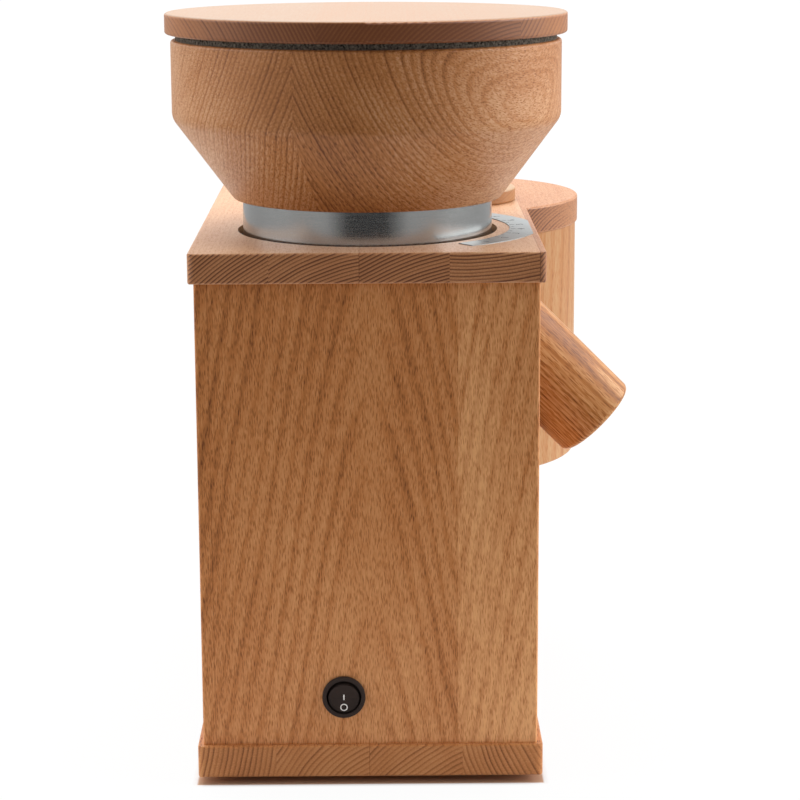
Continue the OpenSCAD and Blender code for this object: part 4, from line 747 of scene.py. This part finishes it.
number_corners, number_faces, used = [], [], 0
for number, angle in enumerate(angles[::2]):
    corners, faces = number_mesh(str(number + 1), NUMBER_SIZE)
    laid = np.stack([NUMBER_OUT - corners[:, 1], corners[:, 0], corners[:, 2]], axis=-1)
    number_corners.append(at_plate(laid, angle))
    number_faces += [face + used for face in faces]
    used += len(corners)
numbers = mesh_piece("scale_numbers", np.concatenate(number_corners), number_faces, mark_dark, "case")
print("numbers:", len(angles[::2]), "with", len(number_faces), "faces")

# %% [markdown]
# ## Light
# The mill stands in a white studio. A broad sun from the spout's side is the main light, a weaker
# one from the left models the other side, a third from above lifts the tops, and the sky fills in
# the rest. Area lamps would do the same for one view, but a sun has no fall-off, so the ground
# stays even out to its far edge and the mill is lit alike from all sides.

# %% Lamps and sky
bpy.context.scene.view_settings.view_transform = "Standard"
SUN_SPREAD = 60                        # degrees: a wide soft box
SKY_FILL, SKY_SEEN = 0.22, 1.0         # strength of the sky as a lamp, and as the white that the eye meets


def sun(name, toward, strength):
    """A sun that stands in the direction toward, SUN_SPREAD degrees wide."""
    data = bpy.data.lights.new(name, "SUN")
    data.energy, data.angle = strength, math.radians(SUN_SPREAD)
    lamp = bpy.data.objects.new(name, data)
    lamp.rotation_mode = "QUATERNION"
    lamp.rotation_quaternion = Vector(toward).to_track_quat("Z", "Y")
    bpy.context.scene.collection.objects.link(lamp)
    return lamp


sun("side_light", (1.0, 0.15, 0.4), 3.3)
sun("left_light", (-1.0, 0.0, 0.5), 1.6)
sun("top_light", (-0.1, 0.5, 1.0), 2.9)

world = bpy.data.worlds.new("studio")
bpy.context.scene.world = world
world.use_nodes = True
world.node_tree.nodes.clear()
rays = add(world.node_tree, "LightPath", out=None).outputs
seen = add(world.node_tree, "Math", {0: rays["Is Camera Ray"], 1: rays["Is Glossy Ray"]}, operation="MAXIMUM")
seen = add(world.node_tree, "Math", {0: seen, 1: rays["Is Transmission Ray"]}, operation="MAXIMUM")
level = add(world.node_tree, "MapRange", {"Value": seen, "To Min": SKY_FILL, "To Max": SKY_SEEN})
sky = add(world.node_tree, "Background", {"Color": (1, 1, 1, 1), "Strength": level})
add(world.node_tree, "OutputWorld", {"Surface": sky}, out=None)

# %% [markdown]
# ## The floor
# The floor is one large square of white paper. A shadow catcher would leave the background to a
# compositor; here the paper glows for the camera from a few mm outside the base, so that the
# shadow stays close under the mill. Right at the base a brown shadow is painted on the paper, the
# colour of the light that the wood throws down there. The distance from the base is that of a box:
# max(|x| - half width, 0) and max(|y| - half length, 0) together.
#
# The room in front is dark: a fan of the floor there answers every ray but the camera's with a
# deep grey, which keeps the front calm and gives the collar its dark middle. Farther off, the paper
# sends less light back up, as in a room where only the table is lit.

# %% How bright the paper is for the mill
PAPER_NEAR, PAPER_FAR = (0.3, 0.85), (1.2, 0.35)           # (metres from the middle, brightness)
FAN_DARK, FAN_LIT = math.radians(17), math.radians(36)     # half-width of the fan, and where the paper is plain
FAN_TIP = (-0.012, 0.05)               # metres: where the fan's two sides meet
FAN_START, FAN_FULL = 0.35, 0.6        # metres in front of its tip where the fan starts and is full
FAN_LEVEL = 0.05                       # brightness that is left in the fan
SEEN_PAPER = 0.9                       # brightness for the camera

# White paper that fades into the white room, with the mill's own soft shadow close to its base, deepened there by a
# painted brown shadow.
ground_white, tree = new_material("studio_paper_white")
rays = add(tree, "LightPath", out=None).outputs
place = add(tree, "TexCoord", out="Object")
axes = add(tree, "SeparateXYZ", {0: place}, out=None).outputs
spread = add(tree, "VectorMath", {0: place}, out="Value", operation="LENGTH")
paper_level = add(tree, "MapRange", {"Value": spread, "From Min": PAPER_NEAR[0], "From Max": PAPER_FAR[0],
                                     "To Min": PAPER_NEAR[1], "To Max": PAPER_FAR[1]})
ahead = add(tree, "Math", {0: axes["Y"], 1: -1.0, 2: FAN_TIP[1]}, operation="MULTIPLY_ADD")
bearing = add(tree, "Math", {0: add(tree, "Math", {0: axes["X"], 1: -FAN_TIP[0]}), 1: ahead}, operation="ARCTAN2")
bearing = add(tree, "Math", {0: bearing}, operation="ABSOLUTE")
beside = add(tree, "MapRange", {"Value": bearing, "From Min": FAN_DARK, "From Max": FAN_LIT})
close_by = add(tree, "MapRange", {"Value": ahead, "From Min": FAN_START, "From Max": FAN_FULL,
                                  "To Min": 1.0, "To Max": 0.0})
lit = add(tree, "Math", {0: beside, 1: close_by}, operation="MAXIMUM")
lit = add(tree, "MapRange", {"Value": lit, "To Min": FAN_LEVEL, "To Max": 1.0})
paper_level = add(tree, "Math", {0: paper_level, 1: lit}, operation="MULTIPLY")
to_camera = add(tree, "Math", {0: rays["Is Camera Ray"], 1: SEEN_PAPER}, operation="MULTIPLY")
paper_level = add(tree, "Math", {0: paper_level, 1: to_camera}, operation="MAXIMUM")
print("fan: dark within", round(math.degrees(FAN_DARK)), "degrees, plain past", round(math.degrees(FAN_LIT)))

# %% Shadow and glow round the base
BROWN_MM, GLOW_MM = 1.0, 3.5           # how far the painted brown shadow reaches, and where the glow is full
PAINTED_SHADOW_BROWN = linear("#CBA68C")
GLOW_SHARE = 0.95                      # the rest still takes the mill's shadow
GROUND_HALF = 40.0                     # metres


def flat_square(name, half):
    """A level square of side 2 * half on the floor, made from four corners."""
    corners = np.array([[-1, -1, 0], [1, -1, 0], [1, 1, 0], [-1, 1, 0]], float) * half
    mesh = bpy.data.meshes.new(name)
    mesh.from_pydata(corners.tolist(), [], [(0, 1, 2, 3)])
    made = bpy.data.objects.new(name, mesh)
    bpy.context.scene.collection.objects.link(made)
    return made


BASE_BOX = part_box("base_board")
base_middle = [(a + b) / 2 for a, b in zip(*BASE_BOX)]
base_half = [(b - a) / 2 for a, b in zip(*BASE_BOX)]
outside = add(tree, "VectorMath", {0: place, 1: (base_middle[0], base_middle[1], 0.0)}, operation="SUBTRACT")
outside = add(tree, "VectorMath", {0: outside}, operation="ABSOLUTE")
outside = add(tree, "VectorMath", {0: outside, 1: (base_half[0], base_half[1], 0.0)}, operation="SUBTRACT")
outside = add(tree, "VectorMath", {0: outside, 1: (0.0, 0.0, 0.0)}, operation="MAXIMUM")
outside = add(tree, "VectorMath", {0: outside}, out="Value", operation="LENGTH")
# A brown shadow painted on the paper for the camera, fading out within BROWN_MM of the base.
painted_shadow = add(tree, "MapRange", {"Value": outside, "From Max": BROWN_MM * MM, "To Min": 1.0, "To Max": 0.0})
painted_shadow = add(tree, "Math", {0: painted_shadow, 1: rays["Is Camera Ray"]}, operation="MULTIPLY")
tinted = add(tree, "CombineColor", {"Red": paper_level, "Green": paper_level, "Blue": paper_level})
tinted = add(tree, "Mix", {0: painted_shadow, 6: tinted, 7: PAINTED_SHADOW_BROWN}, out=2, data_type="RGBA")
paper = add(tree, "BsdfDiffuse", {"Color": tinted})
glow = add(tree, "Emission", {"Color": (1, 1, 1, 1), "Strength": 1.0})
share = add(tree, "MapRange", {"Value": outside, "From Max": GLOW_MM * MM, "To Max": GLOW_SHARE})
share = add(tree, "Math", {0: rays["Is Camera Ray"], 1: share}, operation="MULTIPLY")
add(tree, "OutputMaterial", {"Surface": add(tree, "MixShader", {0: share, 1: paper, 2: glow})}, out=None)

ground = flat_square("ground", GROUND_HALF)
ground.data.materials.append(ground_white)
print("studio ready")
